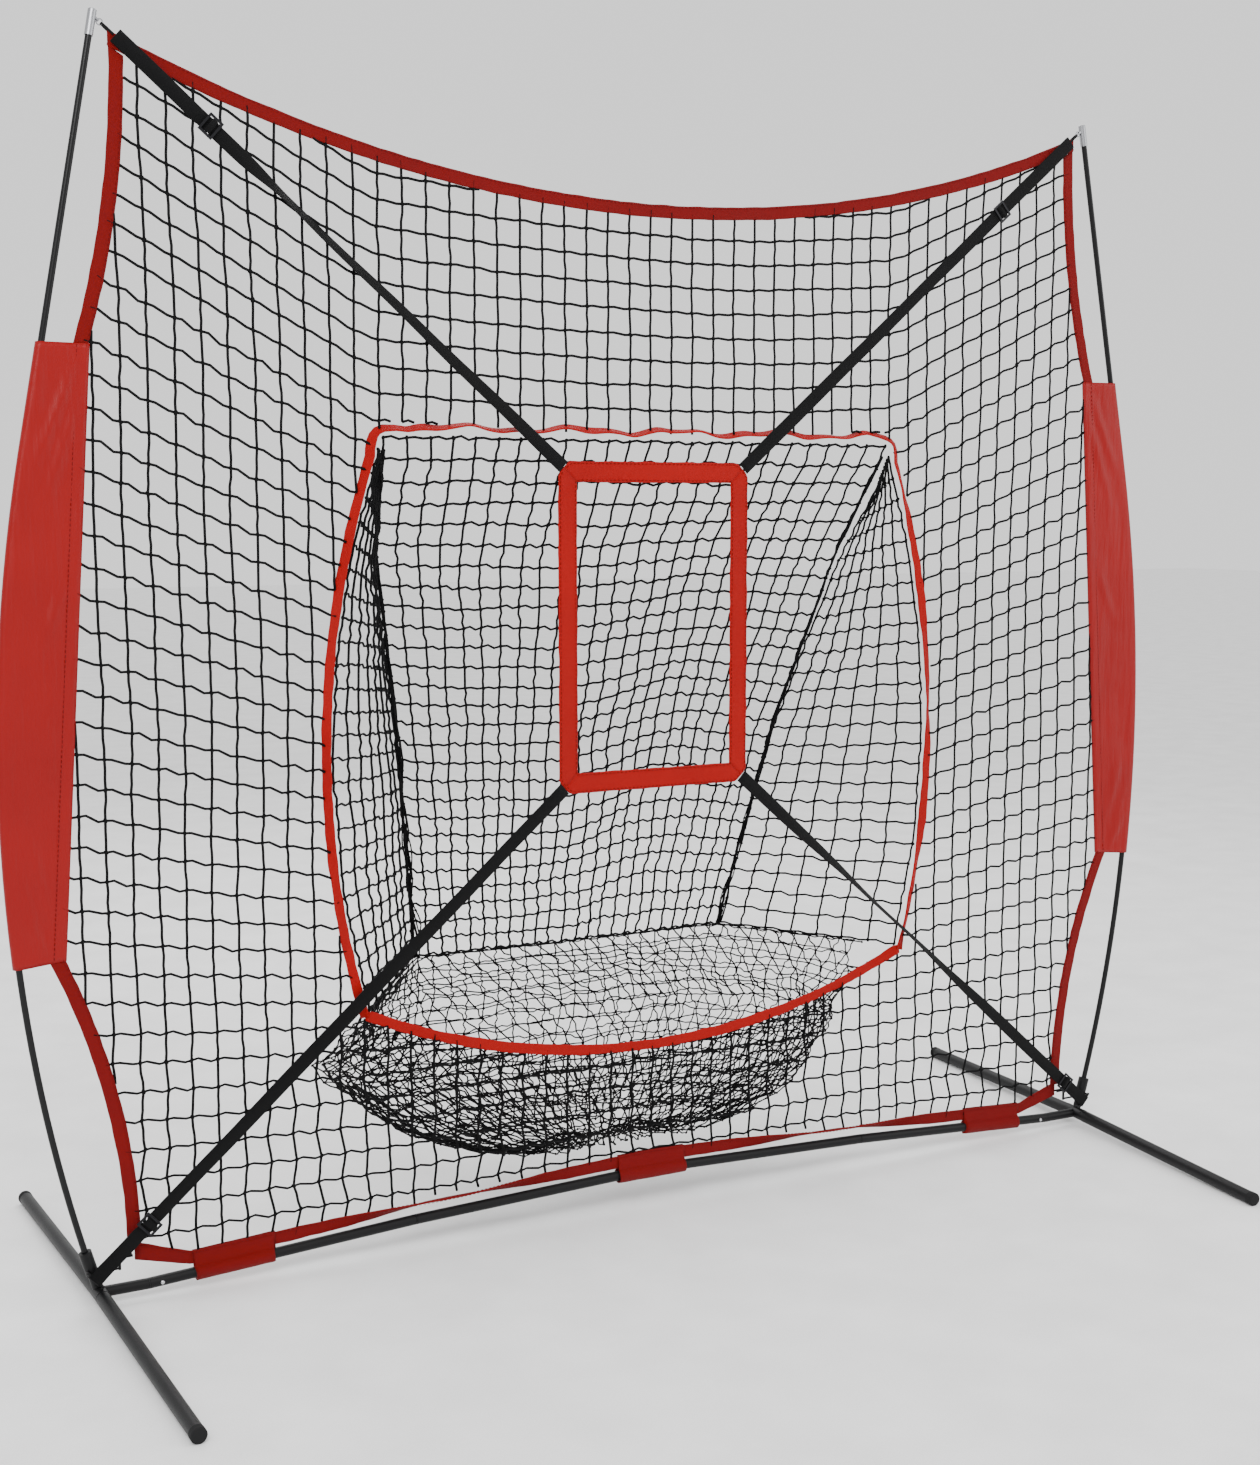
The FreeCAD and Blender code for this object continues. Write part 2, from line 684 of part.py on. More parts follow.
def swage(name, joint, direction, onward):
    """The narrowed end of a tube: a ring inside the tube and a hollow spigot on the next axis."""
    shoulder = cylinder(f"{name}_shoulder", "crossbar_diameter / 2 - crossbar_wall + 0.05", "swage_length",
                        along(joint - direction * size.swage_setback, direction))
    spigot = cylinder(f"{name}_spigot", "crossbar_diameter / 2 - crossbar_wall - spigot_clearance",
                      "spigot_length + swage_length", along(joint - onward * size.swage_length, onward))
    bore = cylinder(f"{name}_spigot_bore", "crossbar_diameter / 2 - 2 * crossbar_wall - spigot_clearance",
                    "spigot_length + 40", along(joint - onward * 20, onward))
    hole = button_hole(f"{name}_spigot_hole", joint, onward, 1)
    return cut(f"{name}_swage", fuse(f"{name}_swage_solid", [shoulder, spigot]), [bore, hole])


def snap_joints():
    """Every crossbar joint with a snap button: name, joint, direction of the spigot, facing."""
    joints = []
    for side_name, side in SIDES.items():
        points = [crossbar_point(index, side) for index in range(3)]
        joints.append((f"hub_{side_name}", points[0], (points[1] - points[0]).normalize(), -1))
        joints.append((f"quarter_{side_name}", points[1], (points[2] - points[1]).normalize(), 1))
    middle = crossbar_point(2, 1)
    joints.append(("middle", middle, (crossbar_point(1, -1) - middle).normalize(), 1))
    return joints


def make_button(name, joint, direction, facing):
    """A domed pin with a flange that stays inside the spigot."""
    pin = size.button_diameter / 2
    head = size.crossbar_diameter / 2 + size.button_stand
    inner = size.crossbar_diameter / 2 - 2 * size.crossbar_wall - size.spigot_clearance
    flange = pin + size.button_flange
    flange_top = math.sqrt(inner ** 2 - flange ** 2) - 0.3
    flange_low = flange_top - size.button_flange_thickness
    profile = [(0, flange_low), (flange, flange_low), (flange, flange_top), (pin, flange_top),
               (pin, head - size.button_dome), (pin - 1, head - size.button_dome / 4), (0, head)]
    centre = joint + direction * size.button_setback
    node(f"snap_button_{name}", turned(f"snap_button_{name}", profile, along(centre, TO_BACK * facing)))


def ribbon_points(path, thickness):
    """The closed outline of a strip of even thickness along a path of points."""
    sides = {1: [], -1: []}
    for index, point in enumerate(path):
        before = path[max(index - 1, 0)]
        after = path[min(index + 1, len(path) - 1)]
        normals = []
        for start, end in ((before, point), (point, after)):
            length = math.dist(start, end)
            if length > 0:
                normals.append((-(end[1] - start[1]) / length, (end[0] - start[0]) / length))
        total = (sum(item[0] for item in normals), sum(item[1] for item in normals))
        size_of_total = math.hypot(*total)
        unit = (total[0] / size_of_total, total[1] / size_of_total)
        reach = thickness / 2 / max(unit[0] * normals[0][0] + unit[1] * normals[0][1], 0.35)
        for sign, points in sides.items():
            points.append((point[0] + sign * reach * unit[0], point[1] + sign * reach * unit[1]))
    return sides[1] + sides[-1][::-1]


def make_button_spring(name, joint, direction, facing):
    """A folded leaf spring: one leg on the spigot's far wall, the other up to the button's flange."""
    inner = size.crossbar_diameter / 2 - 2 * size.crossbar_wall - size.spigot_clearance
    low = -math.sqrt(inner ** 2 - (size.spring_width / 2) ** 2) + size.spring_thickness / 2 + 0.2
    reach, fold = size.spring_reach, size.spring_fold
    path = [(-size.spring_tail, low), (reach, low), (reach + 2, low + fold / 2), (reach, low + fold),
            (reach - 7, 1.5)]
    across = TO_BACK * facing
    placement = axes_placement(joint + direction * size.button_setback, direction,
                               across.cross(direction))
    return padded(f"spring_{name}", polygon(ribbon_points(path, size.spring_thickness)),
                  "spring_width", placement)


# ---------------------------------------------------------------- poles, ferrules, caps

def bend_angle(point):
    return math.atan2(point[1] - BEND.centre[1], point[0] - BEND.centre[0])


def pole_foot_angle():
    """Where the pole stands in its socket, as an angle of the bend."""
    return bend_angle(HUB) + (size.socket_start + 5) / size.bend_radius


def bend_point(angle, side):
    return Vector(side * (BEND.centre[0] + size.bend_radius * math.cos(angle)), 0,
                  BEND.centre[1] + size.bend_radius * math.sin(angle))


def tip_placement(side, below_top):
    """On the straight top of a pole, a distance below the top of its cap."""
    direction = Vector(side * TIP_DIRECTION[0], 0, TIP_DIRECTION[1])
    outer = size.pole_diameter / 2 + size.pole_clearance + size.cap_wall
    top = Vector(side * TIP[0], 0, size.frame_height - outer * math.sin(LEAN))
    return along(top - direction * below_top, direction)


def make_pole(side_name):
    side = SIDES[side_name]
    start = pole_foot_angle()
    middle = (start + LEAN) / 2
    for part, low, high in (("lower", start, middle), ("middle", middle, LEAN)):
        section = doc.addObject("Part::Torus", f"pole_{part}_{side_name}_bend")
        section.setExpression("Radius1", cell("bend_radius"))
        section.setExpression("Radius2", cell("pole_diameter / 2"))
        section.Angle3 = math.degrees(high - low) - math.degrees(0.15 / size.bend_radius)
        outward = Vector(side * math.cos(low), 0, math.sin(low))
        onward = Vector(-side * math.sin(low), 0, math.cos(low))
        section.Placement = axes_placement(in_space(side_point(BEND.centre, side)), outward, onward)
        node(f"pole_{part}_{side_name}", section)
    seat = tip_placement(side, size.cap_wall + 2).Base
    base = bend_point(LEAN, side)
    top_rod = rod_between(f"pole_upper_{side_name}_rod", "pole_diameter / 2", base, seat)
    node(f"pole_upper_{side_name}", top_rod)
    ferrules = [make_ferrule(f"ferrule_{side_name}_{index}", angle, side)
                for index, angle in enumerate((middle, LEAN))]
    node(f"pole_ferrules_{side_name}", group(f"pole_ferrules_{side_name}_pair", ferrules))


def make_ferrule(name, angle, side):
    direction = Vector(-side * math.sin(angle), 0, math.cos(angle))
    start = bend_point(angle, side) - direction * (size.ferrule_length / 2)
    tube = cylinder(f"{name}_tube", "pole_diameter / 2 + pole_clearance + ferrule_wall", "ferrule_length",
                    along(start, direction))
    bore = cylinder(f"{name}_bore", "pole_diameter / 2 + pole_clearance", "ferrule_length + 2",
                    along(start - direction, direction))
    return cut(name, tube, [bore])


def eye_line(side):
    """From the middle of a tip cap's eye towards the net's corner."""
    eye_root = tip_placement(side, size.eye_drop).Base
    corner = Vector(side * TOP_CORNER[0], 0, TOP_CORNER[1])
    direction = (corner - eye_root).normalize()
    reach = size.pole_diameter / 2 + size.pole_clearance + size.cap_wall + size.eye_reach
    return eye_root + direction * reach, direction


def make_tip_cap(side_name):
    side = SIDES[side_name]
    name = f"tip_cap_{side_name}"
    outer = size.pole_diameter / 2 + size.pole_clearance + size.cap_wall
    inner = size.pole_diameter / 2 + size.pole_clearance
    ceiling = size.cap_length - size.cap_wall
    profile = [(inner, 0), (outer, 0), (outer, size.cap_length - 1), (outer - 1, size.cap_length),
               (0, size.cap_length), (0, ceiling), (inner, ceiling)]
    shell = turned(f"{name}_shell", profile, tip_placement(side, size.cap_length))
    eye, direction = eye_line(side)
    lug = box(f"{name}_lug", Vector(0, 0, 0), (size.lug_length, size.lug_width, size.lug_thickness))
    turn = Rotation(direction, TO_BACK, direction.cross(TO_BACK), "XYZ")
    lug_corner = Vector(size.eye_reach - size.lug_length, -size.lug_width / 2, -size.lug_thickness / 2)
    lug.Placement = Placement(eye + turn.multVec(lug_corner), turn)
    hole = cylinder(f"{name}_eye", "eye_radius", 8, Placement(eye + turn.multVec(Vector(0, 0, -4)), turn))
    pole_room = cylinder(f"{name}_room", "pole_diameter / 2 + pole_clearance", "cap_length - cap_wall",
                         tip_placement(side, size.cap_length))
    node(name, cut(f"{name}_cut", fuse(f"{name}_solid", [shell, lug]), [hole, pole_room]))


def make_tip_ring(side_name):
    side = SIDES[side_name]
    eye, direction = eye_line(side)
    ring = doc.addObject("Part::Torus", f"tip_ring_{side_name}_wire")
    ring.setExpression("Radius1", cell("ring_radius"))
    ring.setExpression("Radius2", cell("ring_wire / 2"))
    ring.Placement = along(eye + direction * size.ring_radius, TO_BACK)
    node(f"tip_ring_{side_name}", ring)


def round_turn(radius):
    """Points of a half turn round the local origin, from below it, past its far side, to above."""
    angles = (math.radians(angle) for angle in (270, 225, 180, 135, 90))
    return [(radius * math.cos(angle), radius * math.sin(angle)) for angle in angles]


def make_corner_loop(name, wire_point, direction, wire_radius):
    """A tape loop: from both faces of a net corner, round a ring or pin."""
    half = size.binding_thickness / 2 + 1
    ply = size.loop_ply
    turn = round_turn(wire_radius + ply / 2 + size.loop_room)
    path = ([(size.loop_length, -half), (size.loop_neck, -half)] + turn
            + [(size.loop_neck, half), (size.loop_length, half)])
    placement = axes_placement(wire_point, direction, TO_BACK.cross(direction))
    node(name, padded(f"{name}_tape", polygon(ribbon_points(path, ply)), "loop_width", placement))


# ---------------------------------------------------------------- net, bindings, sleeves

def make_face_net():
    """The netting round the pocket's mouth, as four panels edge to edge."""
    split_high = TAPE_TOP[1]
    split_low = TAPE_LOW[1]
    rise = (split_high - INNER_LOW[1]) / (INNER_HIGH[1] - INNER_LOW[1])
    sleeve_cross = (INNER_LOW[0] + rise * (INNER_HIGH[0] - INNER_LOW[0]), split_high)
    side_cross = LOWER_INNER.at_height(split_low, -1)
    top = [TOP_INNER.arc(mirrored(INNER_CORNER), (0, TOP_CORNER[1] - size.top_sag - size.binding_width)),
           TOP_INNER.arc((0, TOP_CORNER[1] - size.top_sag - size.binding_width), INNER_CORNER),
           UPPER_INNER.arc(INNER_CORNER, INNER_HIGH), line(INNER_HIGH, sleeve_cross),
           line(sleeve_cross, mirrored(sleeve_cross)), line(mirrored(sleeve_cross), mirrored(INNER_HIGH)),
           both_sides([UPPER_INNER.arc(INNER_HIGH, INNER_CORNER)], -1)[0]]
    panels = [padded("net_above_mouth", top, "net_thickness")]
    for side_name, side in SIDES.items():
        edges = [line(TAPE_TOP, sleeve_cross), line(sleeve_cross, INNER_LOW),
                 LOWER_INNER.arc(INNER_LOW, side_cross), line(side_cross, TAPE_LOW),
                 TAPE_SIDE.arc(TAPE_LOW, TAPE_TOP)]
        panels.append(padded(f"net_beside_mouth_{side_name}", both_sides(edges, side), "net_thickness"))
    inner_bottom = bottom_edge(size.binding_width)
    half = [LOWER_INNER.arc(side_cross, INNER_FOOT), line(INNER_FOOT, inner_bottom[2]),
            line(inner_bottom[2], inner_bottom[1]), line(inner_bottom[1], inner_bottom[0])]
    bottom = half + both_sides(half, -1) + [
        line(side_cross, TAPE_LOW), TAPE_FLOOR.arc(TAPE_LOW, mirrored(TAPE_LOW)),
        line(mirrored(TAPE_LOW), mirrored(side_cross))]
    panels.append(padded("net_below_mouth", bottom, "net_thickness"))
    node("face_net", group("face_net_panels", panels))


def make_bindings():
    low_top = (0, TOP_CORNER[1] - size.top_sag)
    low_inner = (0, low_top[1] - size.binding_width)
    top = [TOP_EDGE.arc(mirrored(TOP_CORNER), low_top), TOP_EDGE.arc(low_top, TOP_CORNER),
           line(TOP_CORNER, UNDER_TOP), TOP_INNER.arc(UNDER_TOP, low_inner),
           TOP_INNER.arc(low_inner, mirrored(UNDER_TOP)), line(mirrored(UNDER_TOP), mirrored(TOP_CORNER))]
    node("binding_top", padded("binding_top_strip", top, "binding_thickness"))
    for side_name, side in SIDES.items():
        upper = [UPPER_EDGE.arc(UNDER_TOP, SLEEVE_HIGH), line(SLEEVE_HIGH, INNER_HIGH),
                 UPPER_INNER.arc(INNER_HIGH, INNER_CORNER), TOP_INNER.arc(INNER_CORNER, UNDER_TOP)]
        lower = [LOWER_EDGE.arc(SLEEVE_LOW, OUTER_FOOT), line(OUTER_FOOT, INNER_FOOT),
                 LOWER_INNER.arc(INNER_FOOT, INNER_LOW), line(INNER_LOW, SLEEVE_LOW)]
        strips = [padded(f"binding_{place}_{side_name}", both_sides(edges, side), "binding_thickness")
                  for place, edges in (("upper", upper), ("lower", lower))]
        node(f"binding_side_{side_name}", group(f"binding_side_{side_name}_pair", strips))
    outer, inner = bottom_edge(0), bottom_edge(size.binding_width)
    right = outer[:3] + [BOTTOM_CORNER, OUTER_FOOT, INNER_FOOT, inner[2], inner[1], inner[0]]
    loop = right + [mirrored(point) for point in reversed(right[1:-1])]
    node("binding_bottom", padded("binding_bottom_strip", polygon(loop), "binding_thickness"))


def make_mouth_tape():
    top = polygon([mirrored(MOUTH_TOP), MOUTH_TOP, TAPE_TOP, mirrored(TAPE_TOP)])
    floor = [MOUTH_FLOOR.arc(mirrored(MOUTH_LOW), MOUTH_LOW), line(MOUTH_LOW, TAPE_LOW),
             TAPE_FLOOR.arc(TAPE_LOW, mirrored(TAPE_LOW)), line(mirrored(TAPE_LOW), mirrored(MOUTH_LOW))]
    side = [line(MOUTH_TOP, TAPE_TOP), TAPE_SIDE.arc(TAPE_TOP, TAPE_LOW), line(TAPE_LOW, MOUTH_LOW),
            MOUTH_SIDE.arc(MOUTH_LOW, MOUTH_TOP)]
    strips = [padded("tape_top", top, "binding_thickness"), padded("tape_floor", floor, "binding_thickness")]
    strips += [padded(f"tape_{side_name}", both_sides(side, sign), "binding_thickness")
               for side_name, sign in SIDES.items()]
    node("mouth_tape", group("mouth_tape_strips", strips))


def make_side_sleeve(side_name):
    """A flat cloth tube from the net's edge round the pole, open at both ends."""
    side = SIDES[side_name]
    held = size.pole_diameter / 2 + size.pole_clearance + size.ferrule_wall + size.sleeve_room
    outer = held + size.sleeve_wall
    high, low = pole_at(size.sleeve_top, outer), pole_at(size.sleeve_bottom, outer)
    edges = [line(INNER_HIGH, high)] + pole_edges(high, low, outer) + [line(low, INNER_LOW),
                                                                      line(INNER_LOW, INNER_HIGH)]
    cloth = padded(f"side_sleeve_{side_name}_cloth", both_sides(edges, side), 2 * outer)
    spare = 20
    top, bottom = size.sleeve_top + spare, size.sleeve_bottom - spare
    high, low = pole_at(top, held), pole_at(bottom, held)
    slope = (INNER_HIGH[0] - INNER_LOW[0]) / (INNER_HIGH[1] - INNER_LOW[1])
    seam_high = (INNER_HIGH[0] + size.binding_width + slope * spare, top)
    seam_low = (INNER_LOW[0] + size.binding_width - slope * spare, bottom)
    room_edges = [line(seam_high, high)] + pole_edges(high, low, held) + [line(low, seam_low),
                                                                        line(seam_low, seam_high)]
    room = padded(f"side_sleeve_{side_name}_room", both_sides(room_edges, side), 2 * held)
    node(f"side_sleeve_{side_name}", cut(f"side_sleeve_{side_name}_cut", cloth, [room]))


def make_crossbar_wrap(place, width):
    """A short cloth tube round the crossbar, sewn to the bottom binding."""
    name = f"crossbar_wrap_{place}"
    half = size.wrap_length / 2
    if width == 0:
        ends = [Vector(-half, 0, crossbar_height(half)), Vector(half, 0, crossbar_height(half))]
    else:
        sign = math.copysign(1, width)
        ends = [Vector(width - sign * half, 0, crossbar_height(abs(width) - half)),
                Vector(width + sign * half, 0, crossbar_height(abs(width) + half))]
    run = ends[1] - ends[0]
    outer = size.crossbar_diameter / 2 + size.bottom_gap - size.wrap_room
    cloth = cylinder(f"{name}_cloth", outer, run.Length, along(ends[0], run))
    room = cylinder(f"{name}_room", outer - size.sleeve_wall, run.Length + 2,
                    along(ends[0] - run.normalize(), run))
    node(name, cut(f"{name}_cut", cloth, [room]))


# ---------------------------------------------------------------- ball pocket

def seam_at(height):
    """The back panel's seam on the right: half width and depth at a height."""
    stations = [(size.mouth_top - size.pocket_back_drop, size.mouth_top_half, 0),
                (size.pocket_shoulder_height, size.pocket_shoulder_half, size.pocket_shoulder_depth),
                (size.pocket_waist_height, size.pocket_waist_half, size.pocket_waist_depth),
                (size.mouth_low, size.pocket_foot_half, size.pocket_foot_depth)]
    for (high, wide, near), (low, narrow, far) in zip(stations, stations[1:]):
        if height >= low:
            share = (high - height) / (high - low)
            return wide + (narrow - wide) * share, near + (far - near) * share
    return stations[-1][1], stations[-1][2]


def pocket_start():
    """Depth at which the pocket's skins begin, behind the mouth tape."""
    return size.binding_thickness / 2 + size.pocket_gap


def loft(name, stations):
    """A ruled solid through closed polygons of space points."""
    sections = []
    for index, points in enumerate(stations):
        section = doc.addObject("Part::Polygon", f"{name}_section_{index}")
        section.Nodes = points
        section.Close = True
        sections.append(section)
    skin = doc.addObject("Part::Loft", name)
    skin.Sections = sections
    skin.Solid = True
    skin.Ruled = True
    return skin


def pocket_heights():
    """Levels of the pocket's skins, with a level added half way down each long run."""
    top = size.mouth_top
    shoulder, waist = size.pocket_shoulder_height, size.pocket_waist_height
    return [top - size.pocket_back_drop, top - size.pocket_side_drop, shoulder, (shoulder + waist) / 2, waist,
            (waist + size.mouth_low) / 2, size.mouth_low]


def make_pocket_back():
    start = pocket_start()
    stations = []
    for height in pocket_heights():
        wide, depth = seam_at(height)
        wide += size.pocket_thickness
        near = start + depth
        far = near + size.pocket_thickness
        stations.append([Vector(-wide, near, height), Vector(wide, near, height),
                         Vector(wide, far, height), Vector(-wide, far, height)])
    node("pocket_back", loft("pocket_back_skin", stations))


def make_pocket_gusset(side_name):
    side = SIDES[side_name]
    start = pocket_start()
    step = size.pocket_thickness
    stations = []
    for height in pocket_heights()[1:]:
        mouth = MOUTH_SIDE.at_height(height, 1)[0]
        wide, depth = seam_at(height)
        stations.append([Vector(side * mouth, start, height), Vector(side * wide, start + depth, height),
                         Vector(side * (wide + step), start + depth, height),
                         Vector(side * (mouth + step), start, height)])
    node(f"pocket_gusset_{side_name}", loft(f"pocket_gusset_{side_name}_skin", stations))


def basin_outline(height, half_widths, depths):
    """Six corners: the front pair, the bulging side pair and the back pair."""
    right = [Vector(wide, depth, height) for wide, depth in zip(half_widths, depths)]
    left = [Vector(-point.x, point.y, point.z) for point in right]
    return right + left[::-1]


def bag_level(name):
    """A level of the bag: its height, half widths and depths, each front, side and back."""
    halves = tuple(getattr(size, f"bag_{name}_{place}_half") for place in ("front", "side", "back"))
    depths = tuple(getattr(size, f"bag_{name}_{place}_depth") for place in ("front", "side", "back"))
    return getattr(size, f"bag_{name}_height"), halves, depths


def make_pocket_basin():
    """The low bag that hangs below the mouth and catches the ball, open at its top and front."""
    start = pocket_start()
    low = size.mouth_low
    wide, depth = seam_at(low)
    step = size.pocket_thickness
    levels = [(low, (size.mouth_low_half, 0.5 * (size.mouth_low_half + wide), wide),
               (start, start + depth / 2, start + depth)),
              bag_level("bulge"), bag_level("low"), bag_level("floor")]
    outer = [basin_outline(height, tuple(item + step for item in wides),
                           (depths[0], depths[1], depths[2] + step))
             for height, wides, depths in levels]
    inner = []
    for index, (height, wides, depths) in enumerate(levels):
        lift = step if index == len(levels) - 1 else 0
        inner.append(basin_outline(height + lift, wides, (depths[0] + step, depths[1], depths[2])))
    skin = cut("basin_skin", loft("basin_outer", outer), [loft("basin_inner", inner)])
    rim = cylinder("basin_rim", MOUTH_FLOOR.radius, 30,
                   along(Vector(MOUTH_FLOOR.centre[0], start - 10, MOUTH_FLOOR.centre[1]), TO_BACK))
    node("pocket_basin", cut("pocket_basin_cut", skin, [rim]))


# ---------------------------------------------------------------- strike zone, straps, sliders

def make_strike_zone():
    """Four webbing strips sewn to a rectangle with cut corners."""
    half, tall = size.zone_width / 2, size.zone_height / 2
    band, clip = size.zone_band, size.zone_chamfer
    middle = size.zone_middle
    place = Placement(Vector(0, -size.zone_offset, 0), Rotation())
    strips = []
    for name, sign in (("top", 1), ("bottom", -1)):
        edge = middle + sign * tall
        points = [(-half + clip, edge), (half - clip, edge), (half, edge - sign * clip),
                  (half, edge - sign * band), (-half, edge - sign * band), (-half, edge - sign * clip)]
        strips.append(padded(f"zone_{name}", polygon(points), "zone_thickness", place))
    for side_name, side in SIDES.items():
        points = [(side * half, middle + tall - band), (side * half, middle - tall + band),
                  (side * (half - band), middle - tall + band), (side * (half - band), middle + tall - band)]
        strips.append(padded(f"zone_{side_name}", polygon(points), "zone_thickness", place))
    node("strike_zone_frame", group("strike_zone_strips", strips))


STRAPS = ("upper_left", "upper_right", "lower_left", "lower_right")


def slider_setback(name):
    return getattr(size, f"{name}_slider_setback")


def strap_placement(name):
    """Local X from the outer end to the strike zone, local Z to the front."""
    anchor = strap_anchor(name)
    run = (zone_corner(name) - anchor).normalize()
    across = Vector(0, -1, 0).cross(run).normalize()
    return axes_placement(anchor, run, across)


def plate_height():
    """Middle of a slider's plate above the strap's middle line."""
    front = (size.strap_gap + size.strap_thickness) / 2 + size.strap_thickness / 2
    return front + size.slider_room + size.slider_thickness / 2


def make_strap(name):
    """Webbing sewn to the strike zone, woven through its slider, round its anchor and back."""
    ply = (size.strap_gap + size.strap_thickness) / 2
    run = zone_corner(name) - strap_anchor(name)
    turn = math.radians(45) - math.atan2(abs(run.z), abs(run.x))
    length = run.Length - 1 - size.strap_width / 2 * abs(math.tan(turn))
    slider = slider_setback(name)
    over = plate_height() + size.slider_thickness / 2 + size.strap_thickness / 2 + size.weave_lift
    half_window = size.slider_length / 2 - size.slider_rim
    over_reach = size.slider_bar / 2 + size.weave_reach
    bend = [(size.strap_fold, -ply), (0, 0), (size.strap_fold, ply)]
    if name.startswith("lower"):
        turn_radius = size.bail_rod / 2 + size.strap_thickness / 2 + size.strap_staple_room
        bend = [(size.strap_neck, -ply)] + round_turn(turn_radius) + [(size.strap_neck, ply)]
    dip_reach = half_window - size.weave_inset
    weave = [(slider - dip_reach, ply), (slider - over_reach, over), (slider + over_reach, over),
             (slider + dip_reach, ply), (length, ply)]
    path = [(slider - size.slider_length / 2 - size.strap_tail, -ply)] + bend + weave
    outline = polygon(ribbon_points(path, size.strap_thickness))
    node(f"strap_{name}", padded(f"strap_{name}_webbing", outline, "strap_width", strap_placement(name)))


def make_slider(name):
    """A flat frame with a bar across its middle."""
    place = strap_placement(name)
    label = f"slider_{name}"
    window_wide = size.slider_width - 2 * size.slider_rim
    window_long = (size.slider_length - 2 * size.slider_rim - size.slider_bar) / 2
    centre = Vector(slider_setback(name), 0, plate_height())
    plate_size = (size.slider_length, size.slider_width, size.slider_thickness)
    plate = box(f"{label}_plate", Vector(0, 0, 0), plate_size)
    plate.setExpression("Length", cell("slider_length"))
    plate.setExpression("Width", cell("slider_width"))
    plate.setExpression("Height", cell("slider_thickness"))
    corner = Vector(-size.slider_length / 2, -size.slider_width / 2, -size.slider_thickness / 2)
    plate.Placement = place * Placement(centre + corner, Rotation())
    windows = []
    for sign in (-1, 1):
        start = size.slider_bar / 2 if sign > 0 else -size.slider_bar / 2 - window_long
        window = box(f"{label}_window_{sign + 1}", Vector(0, 0, 0),
                     (window_long, window_wide, size.slider_thickness + 2))
        offset = Vector(start, -window_wide / 2, -size.slider_thickness / 2 - 1)
        window.Placement = place * Placement(centre + offset, Rotation())
        windows.append(window)
    node(label, cut(f"{label}_cut", plate, windows))


# ---------------------------------------------------------------- everything

def build():
    make_hubs()
    for side_name, side in SIDES.items():
        for end_name in ("front", "back"):
            make_foot(side_name, end_name)
        make_crossbar(side_name)
        make_pole(side_name)
        make_tip_cap(side_name)
        make_tip_ring(side_name)
        eye, direction = eye_line(side)
        make_corner_loop(f"corner_loop_upper_{side_name}", eye + direction * 2 * size.ring_radius, direction,
                         size.ring_wire / 2)
        loop_seat = hook_pin(side) + UP * size.hook_loop_rise
        make_corner_loop(f"corner_loop_lower_{side_name}", loop_seat, Vector(-side, 0, 0), size.bail_rod / 2)
        make_side_sleeve(side_name)
        make_pocket_gusset(side_name)
    caps = [make_end_cap(side_name, end_name) for side_name in SIDES for end_name in ("front", "back")]
    node("foot_end_caps", group("foot_end_caps_set", caps))
    springs = []
    for joint in snap_joints():
        make_button(*joint)
        springs.append(make_button_spring(*joint))
    node("button_springs", group("button_springs_set", springs))
    make_face_net()
    make_bindings()
    make_mouth_tape()
    for place, sign in (("left", -1), ("middle", 0), ("right", 1)):
        make_crossbar_wrap(place, sign * WRAP_MIDDLE)
    make_pocket_back()
    make_pocket_basin()
    make_strike_zone()
    for name in STRAPS:
        make_strap(name)
        make_slider(name)


def check_and_export():
    doc.recompute()
    failed = [item.Name for item in doc.Objects if {"Invalid", "Error"} & set(item.State)]
    if failed:
        raise RuntimeError(f"failed features: {failed}")
    for label, thing in nodes.items():
        if thing.Shape.isNull() or not thing.Shape.isValid() or thing.Shape.Volume <= 0:
            raise RuntimeError(f"bad shape: {label}")
    os.makedirs("parts", exist_ok=True)
    for label, thing in nodes.items():
        thing.Shape.exportStep(f"parts/{label}.step")
    print(f"{len(nodes)} nodes written")


build()
check_and_export()
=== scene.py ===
"""Pitching target net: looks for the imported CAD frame. Lengths are in metres, in the row frame."""
import math

import bpy
import numpy as np
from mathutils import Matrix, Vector, noise
from mathutils.bvhtree import BVHTree


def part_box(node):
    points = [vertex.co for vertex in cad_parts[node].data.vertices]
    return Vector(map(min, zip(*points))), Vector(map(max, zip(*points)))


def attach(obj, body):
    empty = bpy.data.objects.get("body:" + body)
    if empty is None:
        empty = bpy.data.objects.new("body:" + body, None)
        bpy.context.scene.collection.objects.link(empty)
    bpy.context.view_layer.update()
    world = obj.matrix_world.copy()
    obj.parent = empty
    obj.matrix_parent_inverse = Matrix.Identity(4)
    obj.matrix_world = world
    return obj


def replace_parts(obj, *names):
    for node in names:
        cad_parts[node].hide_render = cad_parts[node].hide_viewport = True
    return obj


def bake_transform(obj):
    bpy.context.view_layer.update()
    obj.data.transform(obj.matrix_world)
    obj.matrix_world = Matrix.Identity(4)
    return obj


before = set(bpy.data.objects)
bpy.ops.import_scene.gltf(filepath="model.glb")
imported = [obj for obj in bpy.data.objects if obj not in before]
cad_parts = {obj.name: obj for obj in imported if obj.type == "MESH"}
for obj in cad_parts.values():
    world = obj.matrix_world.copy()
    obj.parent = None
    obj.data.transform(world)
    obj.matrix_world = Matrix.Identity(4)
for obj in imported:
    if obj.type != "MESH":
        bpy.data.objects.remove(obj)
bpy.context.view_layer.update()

ROOT = "base_and_net"
ZONE = "strike_zone"
MM = 0.001
SIDES = {"left": -1, "right": 1}
rng = np.random.default_rng(11)

# ---------------------------------------------------------------- camera, light and floor

CAMERA_PLACE = (-1.6752, -3.1606, 1.3453)
CAMERA_YAW = 0.476
CAMERA_DROP = 0.117
CAMERA_LENS = 46.62


